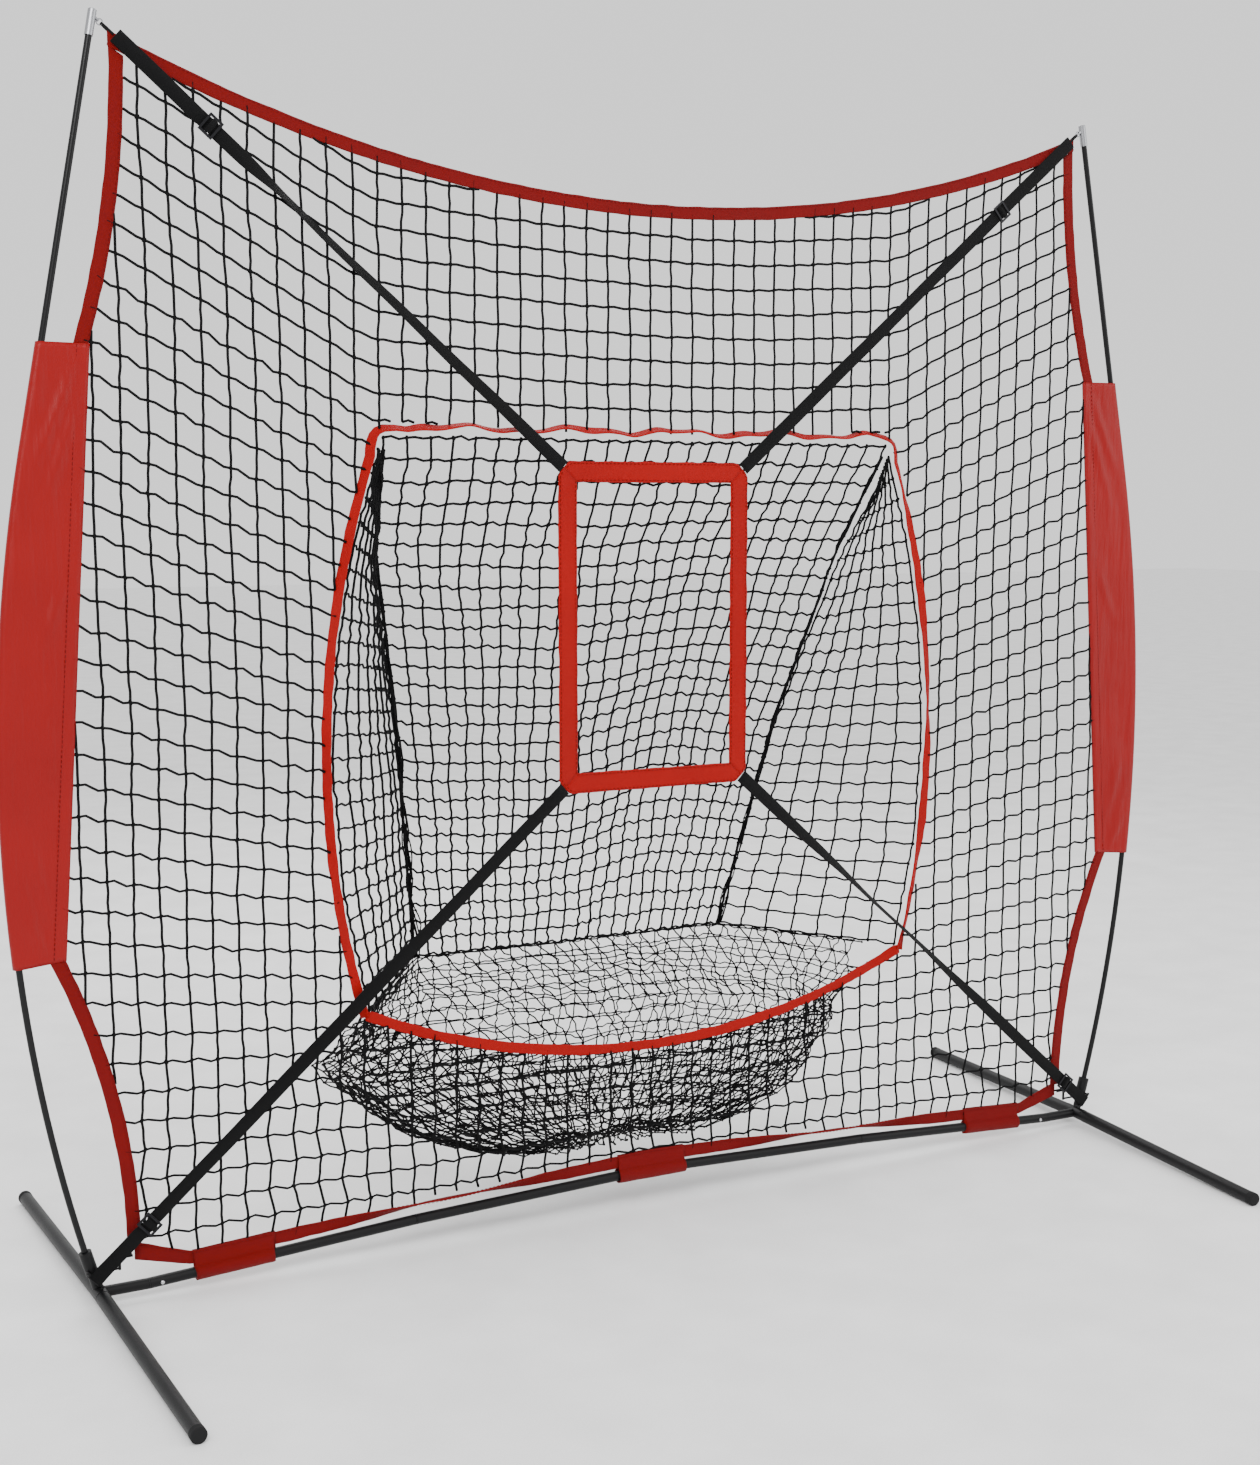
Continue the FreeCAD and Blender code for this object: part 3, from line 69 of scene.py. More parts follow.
def make_studio():
    camera = bpy.data.objects.new("camera", bpy.data.cameras.new("camera"))
    camera.location = CAMERA_PLACE
    camera.rotation_euler = (math.pi / 2 - CAMERA_DROP, 0, -CAMERA_YAW)
    camera.data.lens = CAMERA_LENS
    bpy.context.collection.objects.link(camera)
    bpy.context.scene.camera = camera
    lights = [("key", (-2.6, -3.4, 4.2), 2.4, 190), ("fill", (3.4, -2.6, 2.6), 3.0, 60),
              ("back", (0.5, 3.2, 3.8), 3.0, 90)]
    for name, place, width, power in lights:
        data = bpy.data.lights.new(name, "AREA")
        data.size = width
        data.energy = power
        light = bpy.data.objects.new(name, data)
        light.location = place
        light.rotation_euler = (Vector((0, 0, 0.9)) - Vector(place)).to_track_quat("-Z", "Y").to_euler()
        bpy.context.collection.objects.link(light)
    world = bpy.data.worlds.new("studio")
    world.use_nodes = True
    world.node_tree.nodes["Background"].inputs["Color"].default_value = (1, 1, 1, 1)
    world.node_tree.nodes["Background"].inputs["Strength"].default_value = 1.2
    bpy.context.scene.world = world
    reach = 30
    mesh = bpy.data.meshes.new("floor")
    mesh.from_pydata([(-reach, -reach, 0), (reach, -reach, 0), (reach, reach, 0), (-reach, reach, 0)], [],
                     [(0, 1, 2, 3)])
    floor = bpy.data.objects.new("floor", mesh)
    bpy.context.collection.objects.link(floor)
    mesh.materials.append(surface("floor_paper", (0.93, 0.93, 0.93), 0.7, grain=400, bump=0.02))


# ---------------------------------------------------------------- materials

materials = {}


def surface(name, colour, roughness, metallic=0.0, grain=300.0, bump=0.1, spread=0.12, sheen=0.0,
            coat=0.0, weave=None, stretch=(1, 1, 1), streaks=0.0, shine=0.18):
    """A shader with grain in its colour, roughness and bump. weave is the pitch of crossed threads in metres along the
    piece's UV, and it also darkens the colour with a painted shade in the low parts between the threads. streaks is
    the depth of soft pulls in stretched cloth, and shine the specular level."""
    if name in materials:
        return materials[name]
    material = bpy.data.materials.new(name)
    material.use_nodes = True
    nodes = material.node_tree.nodes
    link = material.node_tree.links.new
    shader = nodes["Principled BSDF"]
    shader.inputs["Metallic"].default_value = metallic
    shader.inputs["Specular IOR Level"].default_value = shine
    shader.inputs["Sheen Weight"].default_value = sheen
    shader.inputs["Sheen Roughness"].default_value = 0.4
    shader.inputs["Coat Weight"].default_value = coat
    shader.inputs["Coat Roughness"].default_value = 0.25
    place = nodes.new("ShaderNodeTexCoord")
    scale = nodes.new("ShaderNodeMapping")
    scale.inputs["Scale"].default_value = stretch
    link(place.outputs["Object"], scale.inputs["Vector"])
    fine = nodes.new("ShaderNodeTexNoise")
    fine.inputs["Scale"].default_value = grain
    fine.inputs["Detail"].default_value = 4
    link(scale.outputs["Vector"], fine.inputs["Vector"])
    broad = nodes.new("ShaderNodeTexNoise")
    broad.inputs["Scale"].default_value = 6
    broad.inputs["Detail"].default_value = 5
    link(scale.outputs["Vector"], broad.inputs["Vector"])
    mixed = nodes.new("ShaderNodeMath")
    mixed.operation = "ADD"
    link(fine.outputs["Fac"], mixed.inputs[0])
    link(broad.outputs["Fac"], mixed.inputs[1])
    ramp = nodes.new("ShaderNodeMapRange")
    ramp.inputs["From Min"].default_value = 0.6
    ramp.inputs["From Max"].default_value = 1.4
    link(mixed.outputs[0], ramp.inputs["Value"])
    tint = nodes.new("ShaderNodeMix")
    tint.data_type = "RGBA"
    tint.inputs["A"].default_value = (*[channel * (1 - spread) for channel in colour], 1)
    tint.inputs["B"].default_value = (*[min(1, channel * (1 + spread)) for channel in colour], 1)
    link(ramp.outputs["Result"], tint.inputs["Factor"])
    rough = nodes.new("ShaderNodeMapRange")
    rough.inputs["To Min"].default_value = max(0.05, roughness - 0.08)
    rough.inputs["To Max"].default_value = min(1, roughness + 0.08)
    link(broad.outputs["Fac"], rough.inputs["Value"])
    link(rough.outputs["Result"], shader.inputs["Roughness"])
    height = fine.outputs["Fac"]
    colour_out = tint.outputs["Result"]
    if weave:
        height, threads = woven_height(nodes, link, weave)
        # painted shade: the base colour is multiplied darker where the woven ribs are low, between the threads
        painted_weave_shade = nodes.new("ShaderNodeMix")
        painted_weave_shade.data_type = "RGBA"
        painted_weave_shade.blend_type = "MULTIPLY"
        painted_weave_shade.inputs["Factor"].default_value = 1
        link(colour_out, painted_weave_shade.inputs["A"])
        link(threads, painted_weave_shade.inputs["B"])
        colour_out = painted_weave_shade.outputs["Result"]
    link(colour_out, shader.inputs["Base Color"])
    relief = nodes.new("ShaderNodeBump")
    relief.inputs["Strength"].default_value = bump
    relief.inputs["Distance"].default_value = 0.0006
    link(height, relief.inputs["Height"])
    out = relief
    if streaks:
        out = add_streaks(nodes, link, relief, streaks)
    link(out.outputs["Normal"], shader.inputs["Normal"])
    materials[name] = material
    return material


def woven_height(nodes, link, pitch):
    """Crossed ribs from the UV, which is in metres: their height, and a painted shade that darkens the colour in the
    low parts between the threads.
    """
    uv = nodes.new("ShaderNodeUVMap")
    split = nodes.new("ShaderNodeSeparateXYZ")
    link(uv.outputs["UV"], split.inputs["Vector"])
    waves = []
    for axis, factor in (("X", 1.0), ("Y", 1.3)):
        times = nodes.new("ShaderNodeMath")
        times.operation = "MULTIPLY"
        times.inputs[1].default_value = 2 * math.pi * factor / pitch
        link(split.outputs[axis], times.inputs[0])
        wave = nodes.new("ShaderNodeMath")
        wave.operation = "SINE"
        link(times.outputs[0], wave.inputs[0])
        waves.append(wave)
    cross = nodes.new("ShaderNodeMath")
    cross.operation = "MULTIPLY"
    link(waves[0].outputs[0], cross.inputs[0])
    link(waves[1].outputs[0], cross.inputs[1])
    # painted shade: low rib heights give a darker colour factor (0.78), high ones leave the colour as it is
    shade = nodes.new("ShaderNodeMapRange")
    shade.inputs["From Min"].default_value = -1
    shade.inputs["From Max"].default_value = 1
    shade.inputs["To Min"].default_value = 0.78
    shade.inputs["To Max"].default_value = 1.0
    link(cross.outputs[0], shade.inputs["Value"])
    return cross.outputs[0], shade.outputs["Result"]


def add_streaks(nodes, link, relief, depth):
    """Long soft pulls across the cloth, as a second bump."""
    place = nodes.new("ShaderNodeTexCoord")
    turn = nodes.new("ShaderNodeMapping")
    turn.inputs["Rotation"].default_value = (0, math.radians(24), 0)
    turn.inputs["Scale"].default_value = (30, 4, 3.2)
    link(place.outputs["Object"], turn.inputs["Vector"])
    pulls = nodes.new("ShaderNodeTexNoise")
    pulls.inputs["Scale"].default_value = 1
    pulls.inputs["Detail"].default_value = 3
    link(turn.outputs["Vector"], pulls.inputs["Vector"])
    second = nodes.new("ShaderNodeBump")
    second.inputs["Strength"].default_value = 0.9
    second.inputs["Distance"].default_value = depth
    link(pulls.outputs["Fac"], second.inputs["Height"])
    link(relief.outputs["Normal"], second.inputs["Normal"])
    return second


BLACK = (0.0045, 0.0045, 0.005)


def twine():
    return surface("knotted_twine", (0.003, 0.003, 0.0034), 0.7, grain=1500, bump=0.5, spread=0.4, shine=0.1)


def webbing():
    return surface("black_webbing", BLACK, 0.72, bump=0.9, sheen=0.02, weave=0.0016, shine=0.12)


def red_cloth():
    return surface("red_binding_cloth", (0.20, 0.0006, 0.0008), 0.66, bump=0.6, weave=0.0011)


def bright_cloth():
    return surface("red_zone_cloth", (0.40, 0.0006, 0.0003), 0.6, bump=0.6, weave=0.0012)


def satin():
    return surface("red_satin", (0.26, 0.0002, 0.0004), 0.34, grain=900, bump=0.15, weave=0.0009,
                   streaks=0.008, shine=0.24)


def thread():
    return surface("stitching_thread", (0.12, 0.0006, 0.0008), 0.6, grain=2500, bump=0.4)


def powder_coat():
    return surface("black_powder_coat", BLACK, 0.44, grain=1400, bump=0.35, shine=0.2)


# ---------------------------------------------------------------- pieces

def piece(name, points, faces, material, uv=None, body=ROOT, smooth=True):
    """A mesh object that rides on a body. uv is one pair for each point."""
    mesh = bpy.data.meshes.new(name)
    mesh.from_pydata(np.asarray(points, float).tolist(), [], [tuple(int(i) for i in face) for face in faces])
    mesh.validate()
    if uv is not None:
        layer = mesh.uv_layers.new(name="UVMap")
        corner = np.zeros(len(mesh.loops), np.int32)
        mesh.loops.foreach_get("vertex_index", corner)
        layer.data.foreach_set("uv", np.asarray(uv, np.float32)[corner].ravel())
    if smooth:
        mesh.polygons.foreach_set("use_smooth", np.ones(len(mesh.polygons), bool))
    mesh.materials.append(material)
    item = bpy.data.objects.new(name, mesh)
    bpy.context.collection.objects.link(item)
    if body:
        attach(item, body)
    return item


def grid_faces(rows, columns, closed=False, start=0):
    """Quads of a grid of points, row by row; closed joins the last column to the first."""
    faces = []
    for row in range(rows - 1):
        for column in range(columns if closed else columns - 1):
            onward = (column + 1) % columns
            faces.append((start + row * columns + column, start + row * columns + onward,
                          start + (row + 1) * columns + onward, start + (row + 1) * columns + column))
    return faces


def applied(item):
    """The object with its modifiers made part of its mesh."""
    view = bpy.context.evaluated_depsgraph_get()
    view.update()
    mesh = bpy.data.meshes.new_from_object(item.evaluated_get(view), preserve_all_data_layers=True,
                                           depsgraph=view)
    item.modifiers.clear()
    item.data = mesh
    return item


def solid_cloth(item, thickness):
    """Gives an open cloth surface its thickness, inward."""
    modifier = item.modifiers.new("thickness", "SOLIDIFY")
    modifier.thickness = thickness
    modifier.offset = -1
    return applied(item)


class Strands:
    """Collects thin round strands and knots, and makes one piece of them."""
    def __init__(self, radius, sides=4):
        self.radius = radius
        self.sides = sides
        self.points = []
        self.faces = []
        self.count = 0

    def add_points(self, points, faces):
        self.points.append(points)
        self.faces.extend([tuple(index + self.count for index in face) for face in faces])
        self.count += len(points)

    def strand(self, path, radius=None):
        path = np.asarray(path, float)
        if len(path) < 2:
            return
        run = np.gradient(path, axis=0)
        run /= np.maximum(np.linalg.norm(run, axis=1, keepdims=True), 1e-9)
        first = np.cross(run, (0.13, 0.97, 0.21))
        first /= np.maximum(np.linalg.norm(first, axis=1, keepdims=True), 1e-9)
        second = np.cross(run, first)
        rings = []
        for angle in np.arange(self.sides) * 2 * math.pi / self.sides:
            rings.append(path + (radius or self.radius) * (math.cos(angle) * first + math.sin(angle) * second))
        points = np.stack(rings, axis=1).reshape(-1, 3)
        faces = grid_faces(len(path), self.sides, closed=True)
        last = (len(path) - 1) * self.sides
        faces.append(tuple(range(self.sides - 1, -1, -1)))
        faces.append(tuple(last + side for side in range(self.sides)))
        self.add_points(points, faces)

    def knot(self, place, radius):
        """A lumpy overhand knot: a squashed ball, turned at random."""
        turned = KNOT_POINTS * (1, rng.uniform(0.75, 1.0), rng.uniform(1.1, 1.5))
        angle = rng.uniform(-1.2, 1.2)
        cosine, sine = math.cos(angle), math.sin(angle)
        spun = np.stack([turned[:, 0] * cosine + turned[:, 2] * sine, turned[:, 1],
                         turned[:, 2] * cosine - turned[:, 0] * sine], axis=1)
        self.add_points(np.asarray(place) + spun * radius, KNOT_FACES)

    def finish(self, name, material, slot, body=ROOT):
        return piece(name, np.concatenate(self.points), self.faces, material, body=body)


def ball(rings=4, segments=6):
    """A small ball's points and faces."""
    points = [(0, 0, 1)]
    for ring in range(1, rings):
        polar = math.pi * ring / rings
        for segment in range(segments):
            angle = 2 * math.pi * segment / segments
            points.append((math.sin(polar) * math.cos(angle), math.sin(polar) * math.sin(angle),
                           math.cos(polar)))
    points.append((0, 0, -1))
    faces = [(0, 1 + (segment + 1) % segments, 1 + segment) for segment in range(segments)]
    faces += [tuple(reversed(face)) for face in grid_faces(rings - 1, segments, True, 1)]
    low = 1 + (rings - 2) * segments
    faces += [(len(points) - 1, low + segment, low + (segment + 1) % segments) for segment in range(segments)]
    return np.array(points), faces


KNOT_POINTS, KNOT_FACES = ball()


def wobble(place, scale, seed=0.0):
    """Smooth noise from about -1 to 1 in three channels."""
    return np.array(noise.noise_vector(Vector(place) * scale + Vector((seed, seed * 1.7, -seed))))


def stitches(threads, path, normal_lift, length=0.0048, gap=0.0034):
    """Short thread dashes along a path of points, lifted off the cloth."""
    path = np.asarray(path, float) + np.asarray(normal_lift)
    steps = np.linalg.norm(np.diff(path, axis=0), axis=1)
    travelled = np.concatenate([[0], np.cumsum(steps)])
    start = gap
    while start + length < travelled[-1]:
        marks = np.linspace(start, start + length, 3)
        dash = np.stack([np.interp(marks, travelled, path[:, axis]) for axis in range(3)], axis=1)
        threads.strand(dash)
        start += length + gap


# ---------------------------------------------------------------- lines read from the frame

def mesh_points(node):
    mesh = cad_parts[node].data
    points = np.zeros(len(mesh.vertices) * 3)
    mesh.vertices.foreach_get("co", points)
    return points.reshape(-1, 3)


def tree_of(node):
    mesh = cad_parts[node].data
    return BVHTree.FromPolygons([vertex.co[:] for vertex in mesh.vertices],
                                [polygon.vertices[:] for polygon in mesh.polygons])


def crossings(tree, start, direction, reach=3.0):
    """Distances along a line at which it meets a mesh."""
    found = []
    place = Vector(start)
    way = Vector(direction)
    travelled = 0.0
    while travelled < reach:
        hit, _, _, distance = tree.ray_cast(place, way, reach - travelled)
        if hit is None:
            break
        travelled += distance
        found.append(travelled)
        place = hit + way * 1e-5
        travelled += 1e-5
    return found


def first_hit(tree, start, direction):
    """Where a line first meets a mesh."""
    return tree.ray_cast(Vector(start), Vector(direction))[0]


class CubicRibbon:
    """Smooth points through a few chosen ones."""
    def __init__(self, points, each=8):
        points = np.asarray(points, float)
        padded = np.vstack([2 * points[0] - points[1], points, 2 * points[-1] - points[-2]])
        rows = []
        for before, start, end, after in zip(padded, padded[1:], padded[2:], padded[3:]):
            for share in np.arange(each) / each:
                rows.append(0.5 * (2 * start + (end - before) * share
                                   + (2 * before - 5 * start + 4 * end - after) * share ** 2
                                   + (3 * start - before - 3 * end + after) * share ** 3))
        self.points = np.vstack([rows, points[-1:]])


# ---------------------------------------------------------------- netting

MESH_STEP = 0.0445
TWINE = 0.0024
KNOT = 0.0036
CREASE = 0.55


def row_drop(x, base):
    """Rows of mesh hang level over the mouth and climb towards the corners outside it."""
    steep = 0.49 * min(max((base - 0.12) / 1.42, 0), 1)
    beyond = max(abs(x) - CREASE, 0)
    soft = beyond if beyond > 0.03 else beyond * beyond / 0.03
    return steep * soft + 0.10 * min(max((base - 1.3) / 0.5, 0), 1) * min(abs(x), CREASE) ** 2


def face_point(column, row):
    """A knot's place on the face, for whole numbers, or a place on a strand between knots."""
    x = column * MESH_STEP
    base = 0.02 + row * MESH_STEP
    place = wobble((x, 0, base), 2.6)
    small = wobble((x, 3, base), 17)
    low = min(max((0.5 - base) / 0.4, 0), 1)
    x += 0.008 * place[0] + 0.0035 * small[0] + 0.006 * low * math.sin(base * 70 + x * 9)
    z = base + row_drop(column * MESH_STEP, base) + 0.007 * place[2] + 0.003 * small[2]
    return np.array([x, 0.0012 * small[1], z])


def strand_between(start, end, wave, count=3):
    """Points from one knot to the next, with the slack that twine keeps next to a knot."""
    shares = np.linspace(0, 1, count + 1)[:-1]
    run = end - start
    level = np.array([-run[2], 0, run[0]])
    bend = np.sin(shares * 2 * math.pi) * wave
    return start + shares[:, None] * run + bend[:, None] * level / max(np.linalg.norm(level), 1e-6)


def runs_inside(points, inside):
    """Stretches of points that are inside, each with one more point at its ends."""
    stretch, found = [], []
    for index, flag in enumerate(inside):
        if flag:
            if not stretch and index:
                stretch.append(points[index - 1])
            stretch.append(points[index])
        elif stretch:
            stretch.append(points[index])
            found.append(stretch)
            stretch = []
    if stretch:
        found.append(stretch)
    return found


def make_face_net():
    tree = tree_of("face_net")
    half = int(1.15 / MESH_STEP)
    tall = int(2.15 / MESH_STEP)

    def inside(point):
        return tree.ray_cast(Vector((point[0], -0.05, point[2])), Vector((0, 1, 0)), 0.1)[0] is not None

    knots = {(column, row): face_point(column, row)
             for column in range(-half, half + 1) for row in range(-12, tall)}
    parts = {"upper": Strands(TWINE), "lower": Strands(TWINE)}
    split = 1.1

    def lay(path):
        for run in runs_inside(path, [inside(point) for point in path]):
            for name, part in parts.items():
                upper = [point[2] >= split for point in run]
                chosen = upper if name == "upper" else [not flag for flag in upper]
                for stretch in runs_inside(run, chosen):
                    part.strand(stretch)

    for row in range(-12, tall):
        path = []
        for column in range(-half, half):
            path.extend(strand_between(knots[column, row], knots[column + 1, row],
                                       0.0012 + 0.0026 * rng.random() * (row < 34), 4))
        lay(path)
    for column in range(-half, half + 1):
        path = []
        for row in range(-12, tall - 1):
            path.extend(strand_between(knots[column, row], knots[column, row + 1],
                                       0.0011 * rng.uniform(-1, 1)))
        lay(path)
    for place in knots.values():
        if inside(place):
            parts["upper" if place[2] >= split else "lower"].knot(place, KNOT)
    pieces = [part.finish(f"face_netting_{name}", twine(), "net_twine") for name, part in parts.items()]
    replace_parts(pieces[0], "face_net")


def lay_net(part, point, columns, rows, slack, knot=KNOT, count=3, wave=0.0025):
    """Strands and knots on a surface point(u, v), with u and v from 0 to 1."""
    grid = np.zeros((rows + 1, columns + 1, 3))
    for row in range(rows + 1):
        for column in range(columns + 1):
            place = np.array(point(column / columns, row / rows))
            edge = 0.35 if column in (0, columns) or row in (0, rows) else 1.0
            grid[row, column] = place + slack * edge * wobble(place, 13, 5) * (1, 0.7, 1)
    for row in range(rows + 1):
        path = []
        for column in range(columns):
            path.extend(sagging(grid[row, column], grid[row, column + 1], wave * rng.uniform(0.4, 1.6), count))
        part.strand(path + [grid[row, -1]])
    for column in range(columns + 1):
        path = []
        for row in range(rows):
            path.extend(sagging(grid[row, column], grid[row + 1, column], wave * rng.uniform(-1, 1), count))
        part.strand(path + [grid[-1, column]])
    for place in grid.reshape(-1, 3):
        part.knot(place, knot)
    return grid


def sagging(start, end, wave, count):
    """Points between two knots in space, bent to both sides by a wave."""
    run = end - start
    sideways = np.cross(run, (0.2, 1, 0.1))
    sideways /= max(np.linalg.norm(sideways), 1e-6)
    return [start + share * run + math.sin(share * 2 * math.pi) * wave * sideways
            for share in np.arange(count) / count]


SKIN = 0.0012
BACK_TREE = tree_of("pocket_back")
GUSSET_TREE = tree_of("pocket_gusset_right")
BASIN_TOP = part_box("pocket_back")[0].z
BACK_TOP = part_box("pocket_back")[1].z
GUSSET_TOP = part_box("pocket_gusset_right")[1].z


def back_seam(height):
    """Half width and depth of the pocket's back at a height."""
    height = min(max(height, BASIN_TOP + 0.001), BACK_TOP - 0.004)
    depth = first_hit(BACK_TREE, (0, -0.05, height), (0, 1, 0)).y
    edge = first_hit(BACK_TREE, (0, depth + SKIN, height), (1, 0, 0)).x
    return edge - 0.003, depth


def mouth_seam(height):
    """Half width of the pocket where its sides meet the mouth."""
    height = min(max(height, BASIN_TOP + 0.001), GUSSET_TOP - 0.004)
    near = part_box("pocket_gusset_right")[0].y
    return first_hit(GUSSET_TREE, (0, near + SKIN, height), (1, 0, 0)).x - 0.002, near


def make_pocket_back():
    part = Strands(TWINE)

    def point(u, v):
        height = BACK_TOP + (BASIN_TOP - BACK_TOP) * v
        half, depth = back_seam(height)
        across = 2 * u - 1
        free = 1 - across * across
        rise = 6.75 * v * v * (1 - v) * free
        lift = rise * (0.045 * math.sin(1.4 * across) + 0.012 * math.sin(6 * across - 1.0))
        ripple = 0.010 * v * v * math.sin(9 * across + 5 * v) * free
        return (half * across, depth - 0.004 - abs(ripple), height + lift - 0.012 * v * (1 - v) * free)

    lay_net(part, point, 24, 27, 0.007)
    netting = part.finish("pocket_back_netting", twine(), "pocket_netting")
    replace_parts(netting, "pocket_back")


def make_gussets():
    for side_name, side in SIDES.items():
        part = Strands(TWINE)

        def point(u, v):
            height = GUSSET_TOP + (BASIN_TOP - GUSSET_TOP) * v
            mouth, near = mouth_seam(height)
            half, depth = back_seam(height)
            sway = 0.018 * math.sin(math.pi * u) * math.sin(math.pi * v)
            return (side * (mouth + (half - mouth) * u - sway), near + (depth - near) * u,
                    height - 0.05 * u * (1 - v))

        lay_net(part, point, 7, 24, 0.006)
        netting = part.finish(f"pocket_gusset_netting_{side_name}", twine(), "pocket_netting")
        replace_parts(netting, f"pocket_gusset_{side_name}")


def make_seams():
    """Laced seams where the gussets meet the back: bunched strands with loose turns."""
    part = Strands(0.0015)
    for side in SIDES.values():
        for strand in range(7):
            path = []
            for share in np.linspace(0, 1, 90):
                height = GUSSET_TOP + (BASIN_TOP - GUSSET_TOP) * share
                half, depth = back_seam(height)
                spread = (0.004 + 0.017 * share * share) * (1 if side < 0 else 0.7)
                drift = wobble((strand * 3.1, height * 3, side), 4.5, strand)
                path.append((side * half + drift[0] * spread, depth - 0.008 + drift[1] * 0.006, height))
            part.strand(path)
            for place in path[strand % 3::4]:
                part.knot(place, 0.0026)
    part.finish("pocket_seam_lacing", twine(), "pocket_netting")


def make_basin():
    """The sagging bag under the mouth, its mesh bunched in two loose layers."""
    tree = tree_of("pocket_basin")
    low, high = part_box("pocket_basin")
    centre = Vector((0, 0.5 * (low.y + high.y), 0))
    tape = tree_of("mouth_tape")

    def ring(height, sink, inset, columns, turn):
        """Evenly spaced places round the bag at a height; sink draws its last rows in to a seam."""
        places = []
        for angle in np.linspace(0, 2 * math.pi, 181):
            way = Vector((math.cos(angle), math.sin(angle), 0))
            hit = tree.ray_cast(Vector((0, centre.y, height)), way, 1.0)
            reach = hit[3] if hit[0] is not None else (low.y + 0.003 - centre.y) / min(way.y, -1e-3)
            reach = min(reach, (low.y + 0.003 - centre.y) / way.y) if way.y < 0 else reach
            places.append((way.x * (reach - inset), way.y * (reach - inset)))
        places = np.array(places)
        steps = np.concatenate([[0], np.cumsum(np.linalg.norm(np.diff(places, axis=0), axis=1))])
        marks = (np.arange(columns) / columns + turn) % 1 * steps[-1]
        x = np.interp(marks, steps, places[:, 0]) * (1 - 0.62 * sink)
        y = centre.y + np.interp(marks, steps, places[:, 1]) * (1 - 0.96 * sink)
        return np.stack([x, y, np.full(columns, height - 0.006 * sink)], axis=1)

    for layer, (columns, rows, slack, inset, turn) in enumerate(((78, 19, 0.012, 0.004, 0.07),
                                                                 (64, 16, 0.017, 0.014, -0.09))):
        part = Strands(0.0016)
        grid = np.full((rows + 1, columns, 3), np.nan)
        for row in range(rows + 1):
            share = row / rows
            settle = min(row / 4, 1)
            height = high.z - 0.004 + (low.z + 0.012 - high.z) * min(share / 0.78, 1)
            sink = max(share - 0.78, 0) / 0.22
            line = ring(height, sink, inset, columns, turn * share)
            for column, place in enumerate(line):
                if sink > 0 and (column % 2 or layer):
                    continue
                if place[0] > 0:
                    place[0] *= 1 - 0.26 * settle * (place[0] / high.x)
                front = place[1] < low.y + 0.03
                shift = slack * wobble(place, 19, layer * 4.0) * min(1, row / 2)
                place += (shift[0], abs(shift[1]) if front else shift[1], max(shift[2], low.z - place[2]))
                place[2] = min(place[2], high.z)
                if place[1] < low.y + 0.05:
                    hem = tape_middle(tape, place[0])
                    if place[2] > hem:
                        continue
                    place[1] += 0.10 * (hem - place[2]) ** 0.7 * (0.4 + 0.6 * layer)
                grid[row, column] = place
        weave_ring(part, grid)
        hang_from_tape(part, grid, tape, low.y)
        netting = part.finish(f"pocket_basin_netting_{layer + 1}", twine(), "pocket_netting")
        if layer == 0:
            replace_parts(netting, "pocket_basin")


def tape_middle(tree, x):
    """Height of the middle of the mouth's lower tape, or of its end beyond it."""
    half = 0.56
    found = crossings(tree, (min(max(x, -half), half), 0, 0.0), (0, 0, 1), 0.9)
    return 0.5 * (found[0] + found[1])


def hang_from_tape(part, grid, tape, near):
    """Short strands from the tape down to the first knots of the bag's front."""
    for column in range(grid.shape[1]):
        known = np.nonzero(~np.isnan(grid[:, column, 0]))[0]
        if len(known) and known[0] > 0:
            top = grid[known[0], column]
            hem = tape_middle(tape, top[0])
            if top[1] < near + 0.08 and hem - top[2] < 0.09:
                part.strand([(top[0] + 0.004, near - 0.001, hem), top])


def weave_ring(part, grid):
    """Strands round and down a ring-shaped grid, broken where the grid has no point."""
    rows, columns = grid.shape[:2]
    known = ~np.isnan(grid[:, :, 0])
    for row in range(rows):
        run = []
        for column in range(columns + 1):
            index = column % columns
            if known[row, index]:
                place = grid[row, index]
                if run:
                    run.extend(sagging(run[-1], place, 0.003 * rng.uniform(-1, 1), 3)[1:])
                run.append(place)
            elif run:
                part.strand(run)
                run = []
        part.strand(run)
    for column in range(columns):
        run = []
        for row in range(rows):
            if known[row, column]:
                if run:
                    run.extend(sagging(run[-1], grid[row, column], 0.004 * rng.uniform(-1, 1), 3)[1:])
                run.append(grid[row, column])
            elif run:
                part.strand(run)
                run = []
        part.strand(run)
    for place in grid[known]:
        part.knot(place, 0.0025)


# ---------------------------------------------------------------- bands of cloth

